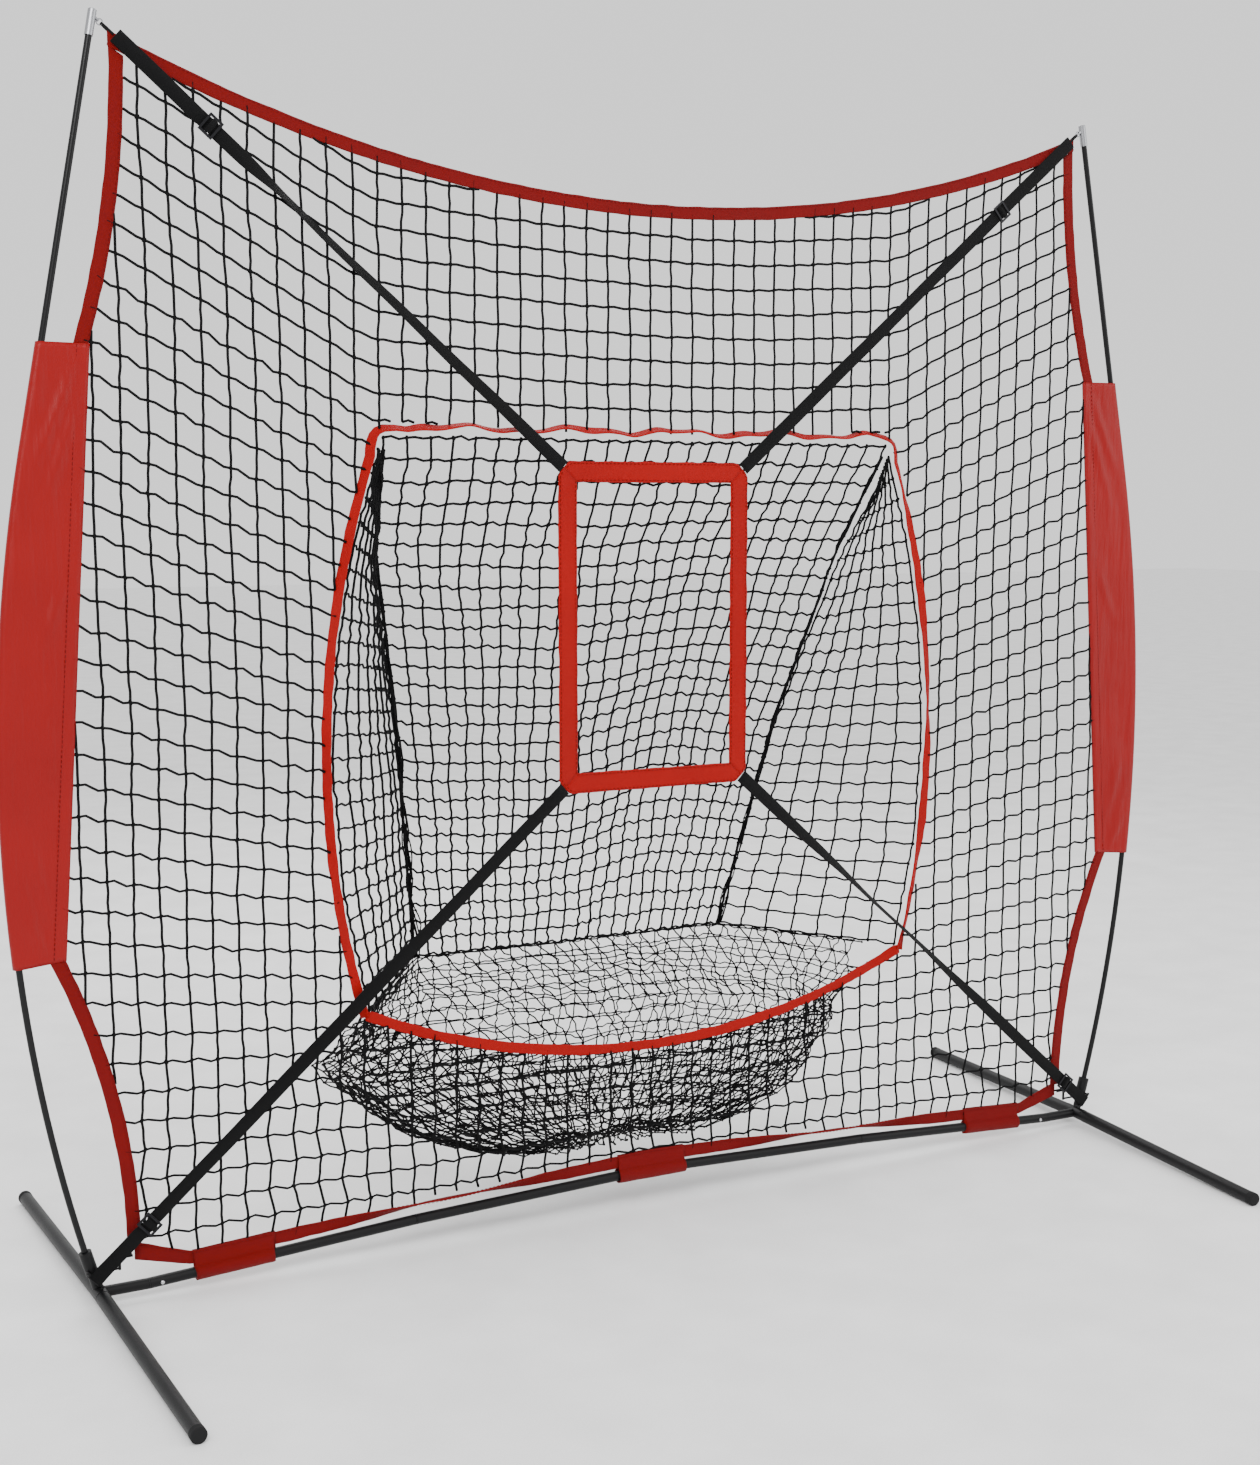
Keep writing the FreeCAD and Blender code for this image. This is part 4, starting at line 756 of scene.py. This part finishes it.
def band(name, first, second, thickness, material, wave=0.0008, twist=None, threads=None):
    """A folded tape between two edge lines. twist gives an angle at each share of its length."""
    first, second = np.asarray(first, float), np.asarray(second, float)
    middle, half = (first + second) / 2, (second - first) / 2
    steps = np.linalg.norm(np.diff(middle, axis=0), axis=1)
    travelled = np.concatenate([[0], np.cumsum(steps)])
    width = np.linalg.norm(half, axis=1)
    across = half / np.maximum(width[:, None], 1e-9)
    run = np.gradient(middle, axis=0)
    run /= np.maximum(np.linalg.norm(run, axis=1, keepdims=True), 1e-9)
    normal = np.cross(run, across)
    normal /= np.maximum(np.linalg.norm(normal, axis=1, keepdims=True), 1e-9)
    section = [(-1, 0.0), (-0.93, 0.75), (-0.8, 1), (-0.4, 0.8), (0, 0.88), (0.4, 0.8), (0.8, 1), (0.93, 0.75),
               (1, 0.0), (0.93, -0.75), (0.8, -1), (0.4, -0.8), (0, -0.88), (-0.4, -0.8), (-0.8, -1),
               (-0.93, -0.75)]
    points, uv = [], []
    lines = {-1: [], 1: []}
    total = travelled[-1]
    for index in range(len(middle)):
        angle = twist(travelled[index] / total) if twist else 0.0
        wide = across[index] * math.cos(angle) + normal[index] * math.sin(angle)
        deep = normal[index] * math.cos(angle) - across[index] * math.sin(angle)
        pucker = wobble(middle[index], 38)
        for u, v in section:
            edge = abs(u) > 0.9
            shift = wave * (pucker[0] * u + (pucker[1] if edge else 0.4 * pucker[2]))
            points.append(middle[index] + wide * (u * width[index] + shift * edge)
                          + deep * (v * thickness / 2 + wave * pucker[2]))
            uv.append((travelled[index], u * width[index]))
        for face, line in lines.items():
            line.append(middle[index] + wide * (0.72 * width[index]) + deep * (face * (thickness / 2 + 0.0004)))
    faces = grid_faces(len(middle), len(section), closed=True)
    last = (len(middle) - 1) * len(section)
    faces.append(tuple(range(len(section) - 1, -1, -1)))
    faces.append(tuple(last + column for column in range(len(section))))
    item = piece(name, points, faces, material, uv)
    if threads is not None:
        for line in lines.values():
            stitches(threads, np.array(line), (0, 0, 0))
    return item


def run_on(lines, at_start, at_end):
    """Both edge lines carried on in a straight line past their ends."""
    longer = []
    for line in lines:
        start = line[0] + (line[0] - line[1]) / np.linalg.norm(line[0] - line[1]) * at_start
        end = line[-1] + (line[-1] - line[-2]) / np.linalg.norm(line[-1] - line[-2]) * at_end
        longer.append(np.vstack([start, line, end]))
    return longer


def edges_by_x(tree, widths, start_z, way=1):
    """Where lines up or down through a strip at several widths enter and leave it."""
    first, second = [], []
    for x in widths:
        found = crossings(tree, (x, 0, start_z), (0, 0, way), 2.5)
        if len(found) > 1:
            first.append((x, 0, start_z + way * found[0]))
            second.append((x, 0, start_z + way * found[1]))
    return np.array(first), np.array(second)


def edges_by_z(tree, heights, side, start_x):
    """The same for lines outward from start_x at several heights."""
    first, second = [], []
    for z in heights:
        found = crossings(tree, (side * start_x, 0, z), (side, 0, 0), 2.5)
        if len(found) > 1:
            first.append((side * (start_x + found[0]), 0, z))
            second.append((side * (start_x + found[1]), 0, z))
    return np.array(first), np.array(second)


def make_bindings():
    threads = Strands(0.00045)
    low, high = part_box("binding_top")
    reach = high.x - 0.006
    tree = tree_of("binding_top")
    first, second = edges_by_x(tree, np.linspace(-reach, reach, 170), high.z + 0.1, -1)
    first, second = run_on((first, second), 0.007, 0.007)
    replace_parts(band("top_binding", second, first, 0.0042, red_cloth(), threads=threads),
                "binding_top")
    tree = tree_of("binding_bottom")
    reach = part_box("binding_bottom")[1].x - 0.012
    first, second = edges_by_x(tree, np.linspace(-reach, reach, 170), 0.0)
    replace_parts(band("bottom_binding", first, second, 0.0036, red_cloth(), threads=threads,
                     twist=lambda share: 1.3 * bump(abs(2 * share - 1) * reach, 0.42, 0.30)), "binding_bottom")
    sleeve_low, sleeve_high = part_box("side_sleeve_right")
    for side_name, side in SIDES.items():
        node = f"binding_side_{side_name}"
        tree = tree_of(node)
        low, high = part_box(node)
        ranges = {"upper": (sleeve_high.z - 0.02, high.z - 0.004, 60),
                  "lower": (low.z + 0.001, sleeve_low.z + 0.02, 60)}
        for place, (bottom, top, count) in ranges.items():
            inner, outer = edges_by_z(tree, np.linspace(bottom, top, count), side, 0.7)
            past = (0.014, 0.013) if place == "upper" else (0.003, 0.014)
            inner, outer = run_on((inner, outer), *past)
            strip = band(f"side_binding_{place}_{side_name}", outer, inner, 0.0042, red_cloth(),
                         threads=threads)
            if place == "upper":
                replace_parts(strip, node)
    threads.finish("binding_stitches", thread(), "red_binding")


def make_mouth_tape():
    """Loose tape: it lies flat under the mouth, and twists where the netting pulls it at the top and sides."""
    tree = tree_of("mouth_tape")
    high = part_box("mouth_tape")[1]
    colour = bright_cloth()
    first, second = edges_by_x(tree, np.linspace(-0.575, 0.575, 110), 0.1)
    width = np.linalg.norm(second - first, axis=1).min()
    first, second = run_on((first, second), 0.004, 0.004)
    bottom = band("mouth_tape_bottom", first, second, 0.0036, colour, wave=0.0012,
                  twist=lambda share: 0.16 * math.sin(share * 17))
    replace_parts(bottom, "mouth_tape")
    inner, outer = edges_by_z(tree, np.linspace(0.456, high.z - 0.06, 60), 1, 0.35)
    rise = (inner + outer) / 2
    rise[0] += (rise[0] - rise[1]) * 0.8
    top_z = high.z - width / 2
    corner = 0.045
    end = rise[-1] + (0, 0, 0.012)
    bend = [end, (end[0] - 0.006, 0, top_z - corner * 0.35), (end[0] - corner * 0.55, 0, top_z - 0.003)]
    across = np.linspace(end[0] - corner * 1.5, -(end[0] - corner * 1.5), 70)
    top = [(x, 0, top_z + 0.004 * math.sin(x * 29) + 0.0025 * math.sin(x * 67 + 1)) for x in across]
    mirror = np.array((-1, 1, 1))
    left = [np.array(place) * mirror for place in bend[::-1]] + list(rise[::-1] * mirror)
    middle = CubicRibbon(np.array(list(rise) + [np.array(place) for place in bend] + top + left), 2).points
    run = np.gradient(middle, axis=0)
    run /= np.linalg.norm(run, axis=1, keepdims=True)
    sideways = np.stack([-run[:, 2], np.zeros(len(run)), run[:, 0]], axis=1) * width / 2
    band("mouth_tape_arch", middle - sideways, middle + sideways, 0.0034, colour, wave=0.0012,
         twist=arch_twist)


def arch_twist(share):
    """The tape turns on edge along the top and pinches here and there down both sides."""
    top = plateau(share, 0.30, 0.70, 0.05)
    right = 0.28 + 0.42 * math.sin(share * 47) + 0.15 * math.sin(share * 131)
    left = 0.28 + 0.42 * math.sin((1 - share) * 43 + 2.2) + 0.13 * math.sin(share * 120)
    side = right if share < 0.5 else left
    return side * (1 - top) + top * (1.12 + 0.22 * math.sin(share * 90) * math.sin(share * 37))


FOLDS = (((0.30, 0.965), (0.85, 0.80), 0.085), ((0.15, 0.93), (0.60, 0.74), 0.06), ((0.70, 0.22), (0.35, 0.08), 0.085),
         ((0.95, 0.10), (0.40, 0.012), 0.07), ((0.90, 0.17), (0.60, 0.06), 0.06), ((0.2, 0.62), (0.55, 0.50), 0.05))


def folds(across, up, front):
    """Straight ridges that run slantwise where the cloth is pulled at its corners."""
    total = 0.0
    tall = 6.5
    for (start_u, start_v), (end_u, end_v), width in FOLDS:
        if not front:
            start_v, end_v = 1 - start_v, 1 - end_v
        run = Vector((end_u - start_u, (end_v - start_v) * tall))
        offset = Vector((across - start_u, (up - start_v) * tall))
        share = min(max(offset.dot(run) / run.length_squared, 0), 1)
        gap = (offset - share * run).length
        total += math.exp(-(gap / width) ** 2) * math.sin(math.pi * (0.1 + 0.8 * share))
    return total


def make_side_sleeves():
    """Satin tubes: a flat hem at the net, two stretched faces, and a round end over the pole."""
    threads = Strands(0.0005)
    for side_name, side in SIDES.items():
        node = f"side_sleeve_{side_name}"
        low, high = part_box(node)
        tree = tree_of(node)
        radius = (high.y - low.y) / 2 - 0.0003
        hem = 0.0019
        rows, lines = 130, {"front": [], "back": []}
        points, uv = [], []
        for height in np.linspace(low.z + 0.001, high.z - 0.001, rows):
            found = crossings(tree, (side * 0.7, radius * 0.9995, height), (side, 0, 0), 2.5)
            outline = crossings(tree, (side * 0.7, 0, height), (side, 0, 0), 2.5)
            inner, outer = 0.7 + outline[0], 0.7 + outline[-1]
            share_up = (height - low.z) / (high.z - low.z)
            slant = 0.006 * (1 - share_up) ** 6
            pole = outer - radius
            section = []
            for share in np.linspace(0, 1, 15):
                x = inner + (pole - inner) * share
                grown = min(max((share - 0.22) / 0.78, 0), 1)
                section.append((x, hem + (radius - hem) * grown ** 0.9, share))
            for angle in np.linspace(math.pi / 2, -math.pi / 2, 9)[1:-1]:
                section.append((pole + radius * math.cos(angle), radius * math.sin(angle), 1.0))
            for x, thick, share in section[14::-1]:
                section.append((x, -thick, share))
            around = 0.0
            before = None
            for x, depth, share in section:
                free = math.sin(math.pi * min(share, 1.0)) * (1 if 0.02 < share_up < 0.98 else 0.5)
                pull = wobble((x * 9 + height * 2.2, depth * 10, height * 1.5 - x * 2), 2.4, side)
                crumple = wobble((x, depth, height), 30, side)
                hem_gather = math.exp(-((share - 0.14) / 0.12) ** 2)
                swell = 0.0032 * pull[0] + 0.0009 * crumple[0] + 0.0022 * hem_gather * crumple[1]
                swell += 0.0045 * folds(share, share_up, depth > 0)
                depth += math.copysign(1, depth) * free * swell
                place = np.array([side * x, -depth, height - slant * share])
                around += 0 if before is None else np.linalg.norm(place[:2] - before[:2])
                before = place
                points.append(place)
                uv.append((around, height))
            lines["front"].append((side * (inner + 0.020), -0.0032, height))
            lines["back"].append((side * (inner + 0.020), 0.0032, height))
        columns = len(section)
        faces = grid_faces(rows, columns, closed=True)
        if side > 0:
            faces = [tuple(reversed(face)) for face in faces]
        sleeve = solid_cloth(piece(f"satin_sleeve_{side_name}", points, faces, satin(), uv), 0.0007)
        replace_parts(sleeve, node)
        for line in lines.values():
            stitches(threads, line, (0, 0, 0))
    threads.finish("sleeve_stitches", thread(), "red_satin")


def make_wraps():
    """Cloth flaps sewn over the bottom binding and down round the crossbar."""
    binding = tree_of("binding_bottom")
    threads = Strands(0.00045)
    for place in ("left", "middle", "right"):
        node = f"crossbar_wrap_{place}"
        low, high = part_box(node)
        tree = tree_of(node)
        points, uv, girths = [], [], []
        rows = 34
        top_line = []
        for x in np.linspace(low.x + 0.0015, high.x - 0.0015, rows):
            found = crossings(tree, (x, 0, -0.05), (0, 0, 1), 0.5)
            bottom, top = -0.05 + found[0], -0.05 + found[-1]
            radius = (top - bottom) / 2 - 0.0004
            centre = (top + bottom) / 2
            strip = crossings(binding, (x, 0, 0.0), (0, 0, 1), 0.5)
            upper = strip[-1] + 0.0015
            section = [(0.0030, upper - centre), (0.0034, (upper - centre) * 0.7 + radius * 0.25)]
            for angle in np.linspace(math.radians(68), math.radians(-248), 25):
                section.append((radius * math.cos(angle), radius * math.sin(angle)))
            section += [(-0.0034, (upper - centre) * 0.7 + radius * 0.25), (-0.0030, upper - centre)]
            around, before = 0.0, None
            for y, z in section:
                crease = wobble((x, y, z), 45)
                spot = np.array([x + 0.0012 * crease[2], y * (1 + 0.03 * crease[0]), centre + z
                                 + 0.0005 * crease[1]])
                around += 0 if before is None else np.linalg.norm(spot[1:] - before[1:])
                before = spot
                points.append(spot)
                uv.append((x, around))
            girths.append(around)
            top_line.append((x, -0.0038, upper - 0.004))
        faces = [tuple(reversed(face)) for face in grid_faces(rows, len(section))]
        flap = solid_cloth(piece(f"crossbar_flap_{place}", points, faces, red_cloth(), uv), 0.0008)
        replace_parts(flap, node)
        stitches(threads, top_line, (0, 0, 0))
    threads.finish("flap_stitches", thread(), "red_wrap")


# ---------------------------------------------------------------- strike zone and straps

def make_strike_zone():
    low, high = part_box("strike_zone_frame")
    depth = (low.y + high.y) / 2
    half, middle, tall = high.x, (low.z + high.z) / 2, (high.z - low.z) / 2
    inner = zone_hole()
    clip = 0.023
    cut_mid = (half - clip / 2, tall - clip / 2)
    outer_points = [(-cut_mid[0], cut_mid[1]), (-half + clip, tall), (half - clip, tall), (cut_mid[0], cut_mid[1])]
    side_points = [(cut_mid[0], cut_mid[1]), (half, tall - clip), (half, -tall + clip), (cut_mid[0], -cut_mid[1])]
    loops = {"top": (outer_points, (-inner[0], inner[1]), (inner[0], inner[1])),
             "right": (side_points, (inner[0], inner[1]), (inner[0], -inner[1]))}
    loops["bottom"] = ([(-x, -z) for x, z in outer_points], (inner[0], -inner[1]), (-inner[0], -inner[1]))
    loops["left"] = ([(-x, -z) for x, z in side_points], (-inner[0], -inner[1]), (-inner[0], inner[1]))
    threads = Strands(0.0005)
    for name, (outer, inner_start, inner_end) in loops.items():
        outer = np.array([(x, depth, middle + z) for x, z in outer])
        steps = np.concatenate([[0], np.cumsum(np.linalg.norm(np.diff(outer, axis=0), axis=1))])
        marks = np.linspace(0, steps[-1], 60)
        first = np.stack([np.interp(marks, steps, outer[:, axis]) for axis in range(3)], axis=1)
        start = np.array([inner_start[0], depth, middle + inner_start[1]])
        end = np.array([inner_end[0], depth, middle + inner_end[1]])
        second = start + (marks / steps[-1])[:, None] * (end - start)
        strip = band(f"zone_band_{name}", first, second, 0.0036, bright_cloth(), wave=0.0009)
        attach(strip, ZONE)
        if name == "top":
            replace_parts(strip, "strike_zone_frame")
        for share in (0.10, 0.90):
            stitches(threads, first + share * (second - first), (0, -0.0024, 0))
    threads.finish("zone_stitches", thread(), "zone_webbing", body=ZONE)


def zone_hole():
    """Half width and half height of the opening inside the strike zone."""
    tree = tree_of("strike_zone_frame")
    low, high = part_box("strike_zone_frame")
    centre = ((low.x + high.x) / 2, (low.y + high.y) / 2, (low.z + high.z) / 2)
    return (crossings(tree, centre, (1, 0, 0))[0], crossings(tree, centre, (0, 0, 1))[0])


STRAP_WIDTH = 0.025
STRAP_PLY = 0.0014
STRAP_GAP = 0.0014


def strap_line(name):
    """Outer end and inner end of a strap, from its solid: the mean of its points at each end."""
    points = mesh_points(f"strap_{name}")
    vertical, horizontal = name.split("_")
    side = SIDES[horizontal]
    outward = np.array([side, 0, 1 if vertical == "upper" else -1], float)
    reach = points @ outward
    outer = points[reach > reach.max() - 0.03]
    inner = points[reach < reach.min() + 0.004]
    start, end = outer.mean(axis=0), inner.mean(axis=0)
    return start, end


def strap_frame(name):
    """Fits the strap's own axes to its solid: the long axis is its main spread."""
    points = mesh_points(f"strap_{name}")
    centre = points.mean(axis=0)
    start, end = strap_line(name)
    spread = points - centre
    _, _, axes = np.linalg.svd(spread, full_matrices=False)
    along = axes[0] * (1 if axes[0] @ (end - start) > 0 else -1)
    front = axes[2] * (1 if axes[2][1] < 0 else -1)
    across = np.cross(front, along)
    local = np.stack([(points - centre) @ axis for axis in (along, across, front)], axis=1)
    return centre, along, across, front, local


TWISTS = {
    "upper_left": lambda x, slider, total: -0.98 * ease_out(x, slider + 0.05, slider + 0.17, total, 0.8),
    "upper_right": lambda x, slider, total: 0.12 * math.sin(x * 9),
    "lower_left": lambda x, slider, total: 0.10 * math.sin(x * 8),
    "lower_right": lambda x, slider, total: 1.10 * plateau(x, 0.18 * total, total, 0.40 * total),
}


def bump(x, centre, half):
    share = (x - centre) / half
    return 0.5 * (1 + math.cos(math.pi * share)) if abs(share) < 1 else 0.0


def ease_out(x, start, full, end, power):
    """Turns within start to full, then untwists slowly until end."""
    share = min(max((x - start) / (full - start), 0), 1)
    return share * share * (3 - 2 * share) * max(0, (end - x) / (end - start)) ** power


def plateau(x, start, end, ramp):
    rise = min(max((x - start) / ramp, 0), 1)
    fall = min(max((end - x) / ramp, 0), 1)
    share = min(rise, fall)
    return share * share * (3 - 2 * share)


def make_straps():
    for name, twist in TWISTS.items():
        node = f"strap_{name}"
        centre, along, across, front, local = strap_frame(name)
        outer_end, inner_end = local[:, 0].min(), local[:, 0].max()
        slider_points = mesh_points(f"slider_{name}") - centre
        slider_x = (slider_points @ along).mean() - outer_end
        slider_n = (slider_points @ front).mean()
        single = local[np.abs(local[:, 0] - inner_end) < 0.001][:, 2].mean()
        ply = (STRAP_GAP + STRAP_PLY) / 2
        axis_n = single - ply
        total = inner_end - outer_end
        lower = name.startswith("lower")
        turn = 0.0039 if lower else 0.0014
        over = slider_n - axis_n + 0.0012 + STRAP_PLY / 2 + 0.0009
        path = [(slider_x - 0.019, -ply), (slider_x * 0.6, -ply), (0.026 + turn, -ply)]
        angles = np.radians((270, 235, 200, 160, 125, 90))
        path += [(turn + 0.0007 + turn * math.cos(angle), turn * math.sin(angle)) for angle in angles]
        path += [(0.026 + turn, ply), (slider_x * 0.6, ply), (slider_x - 0.0094, ply), (slider_x - 0.0034, over),
                 (slider_x + 0.0034, over), (slider_x + 0.0094, ply)]
        path += [(x, ply) for x in np.linspace(slider_x + 0.03, total, 14)]
        path = CubicRibbon(path, 6).points
        points, uv = [], []
        section = [(-1, -0.6), (-0.96, -1), (0, -1), (0.96, -1), (1, -0.6), (1, 0.6), (0.96, 1), (0, 1), (-0.96, 1),
                   (-1, 0.6)]
        run = np.gradient(path, axis=0)
        run /= np.maximum(np.linalg.norm(run, axis=1, keepdims=True), 1e-9)
        travelled = np.concatenate([[0], np.cumsum(np.linalg.norm(np.diff(path, axis=0), axis=1))])
        for (x, n), (run_x, run_n), length in zip(path, run, travelled):
            angle = twist(x, slider_x, total)
            wide = across * math.cos(angle) + front * math.sin(angle)
            deep = front * math.cos(angle) - across * math.sin(angle)
            ripple = 0.0008 * math.sin(x * 23) * min(1, max(0, (total - x) * 8))
            for u, v in section:
                half_ply = v * STRAP_PLY / 2
                points.append(centre + along * (outer_end + x - run_n * half_ply)
                              + front * axis_n + deep * (n + run_x * half_ply + ripple)
                              + wide * u * STRAP_WIDTH / 2)
                uv.append((length, u * STRAP_WIDTH / 2))
        faces = grid_faces(len(path), len(section), closed=True)
        faces.append(tuple(range(len(section) - 1, -1, -1)))
        last = (len(path) - 1) * len(section)
        faces.append(tuple(last + column for column in range(len(section))))
        strap = piece(f"webbing_strap_{name}", points, faces, webbing(), uv, body=None)
        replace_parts(strap, node)
        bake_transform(strap)


def make_corner_loops():
    """Tape loops at the net's corners: the frame's bend with soft rounded edges."""
    for level in ("upper", "lower"):
        for side_name in SIDES:
            node = f"corner_loop_{level}_{side_name}"
            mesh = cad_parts[node].data.copy()
            mesh.materials.clear()
            mesh.materials.append(webbing())
            loop = bpy.data.objects.new(f"tape_{level}_{side_name}", mesh)
            bpy.context.collection.objects.link(loop)
            rounding = loop.modifiers.new("rounding", "BEVEL")
            rounding.width = 0.0004
            rounding.segments = 2
            applied(loop)
            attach(loop, ROOT)
            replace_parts(loop, node)


# ---------------------------------------------------------------- hard parts keep their CAD shape

def dress_frame():
    finishes = {
        "hub_": powder_coat(), "foot_": powder_coat(), "crossbar_": powder_coat(),
        "foot_end_caps": surface("black_rubber", (0.010, 0.010, 0.0105), 0.8, grain=900, bump=0.5, spread=0.3),
        "pole_": surface("black_fibreglass", (0.004, 0.004, 0.0045), 0.32, grain=700, bump=0.06, shine=0.22,
                         stretch=(1, 1, 0.05)),
        "pole_ferrules": surface("drawn_ferrule", (0.55, 0.55, 0.57), 0.32, metallic=1, grain=900,
                                 bump=0.2, stretch=(1, 1, 0.05)),
        "tip_cap": surface("satin_aluminium", (0.34, 0.345, 0.36), 0.34, metallic=1, grain=1100, bump=0.2),
        "tip_ring": surface("ring_wire_steel", (0.36, 0.36, 0.38), 0.25, metallic=1, grain=1600, bump=0.15),
        "snap_button": surface("bright_button_steel", (0.58, 0.58, 0.6), 0.28, metallic=1, grain=1500, bump=0.15),
        "button_springs": surface("spring_steel", (0.42, 0.42, 0.45), 0.35, metallic=1, grain=900, bump=0.2),
        "slider_": surface("worn_black_slider", (0.014, 0.014, 0.016), 0.35, metallic=0.5, grain=900, bump=0.3,
                           spread=0.5),
    }
    for name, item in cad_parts.items():
        best = max((prefix for prefix in finishes if name.startswith(prefix)), key=len, default=None)
        if best:
            item.data.materials.clear()
            item.data.materials.append(finishes[best])


make_studio()
dress_frame()
make_face_net()
make_pocket_back()
make_gussets()
make_seams()
make_basin()
make_bindings()
make_mouth_tape()
make_side_sleeves()
make_wraps()
make_strike_zone()
make_straps()
make_corner_loops()
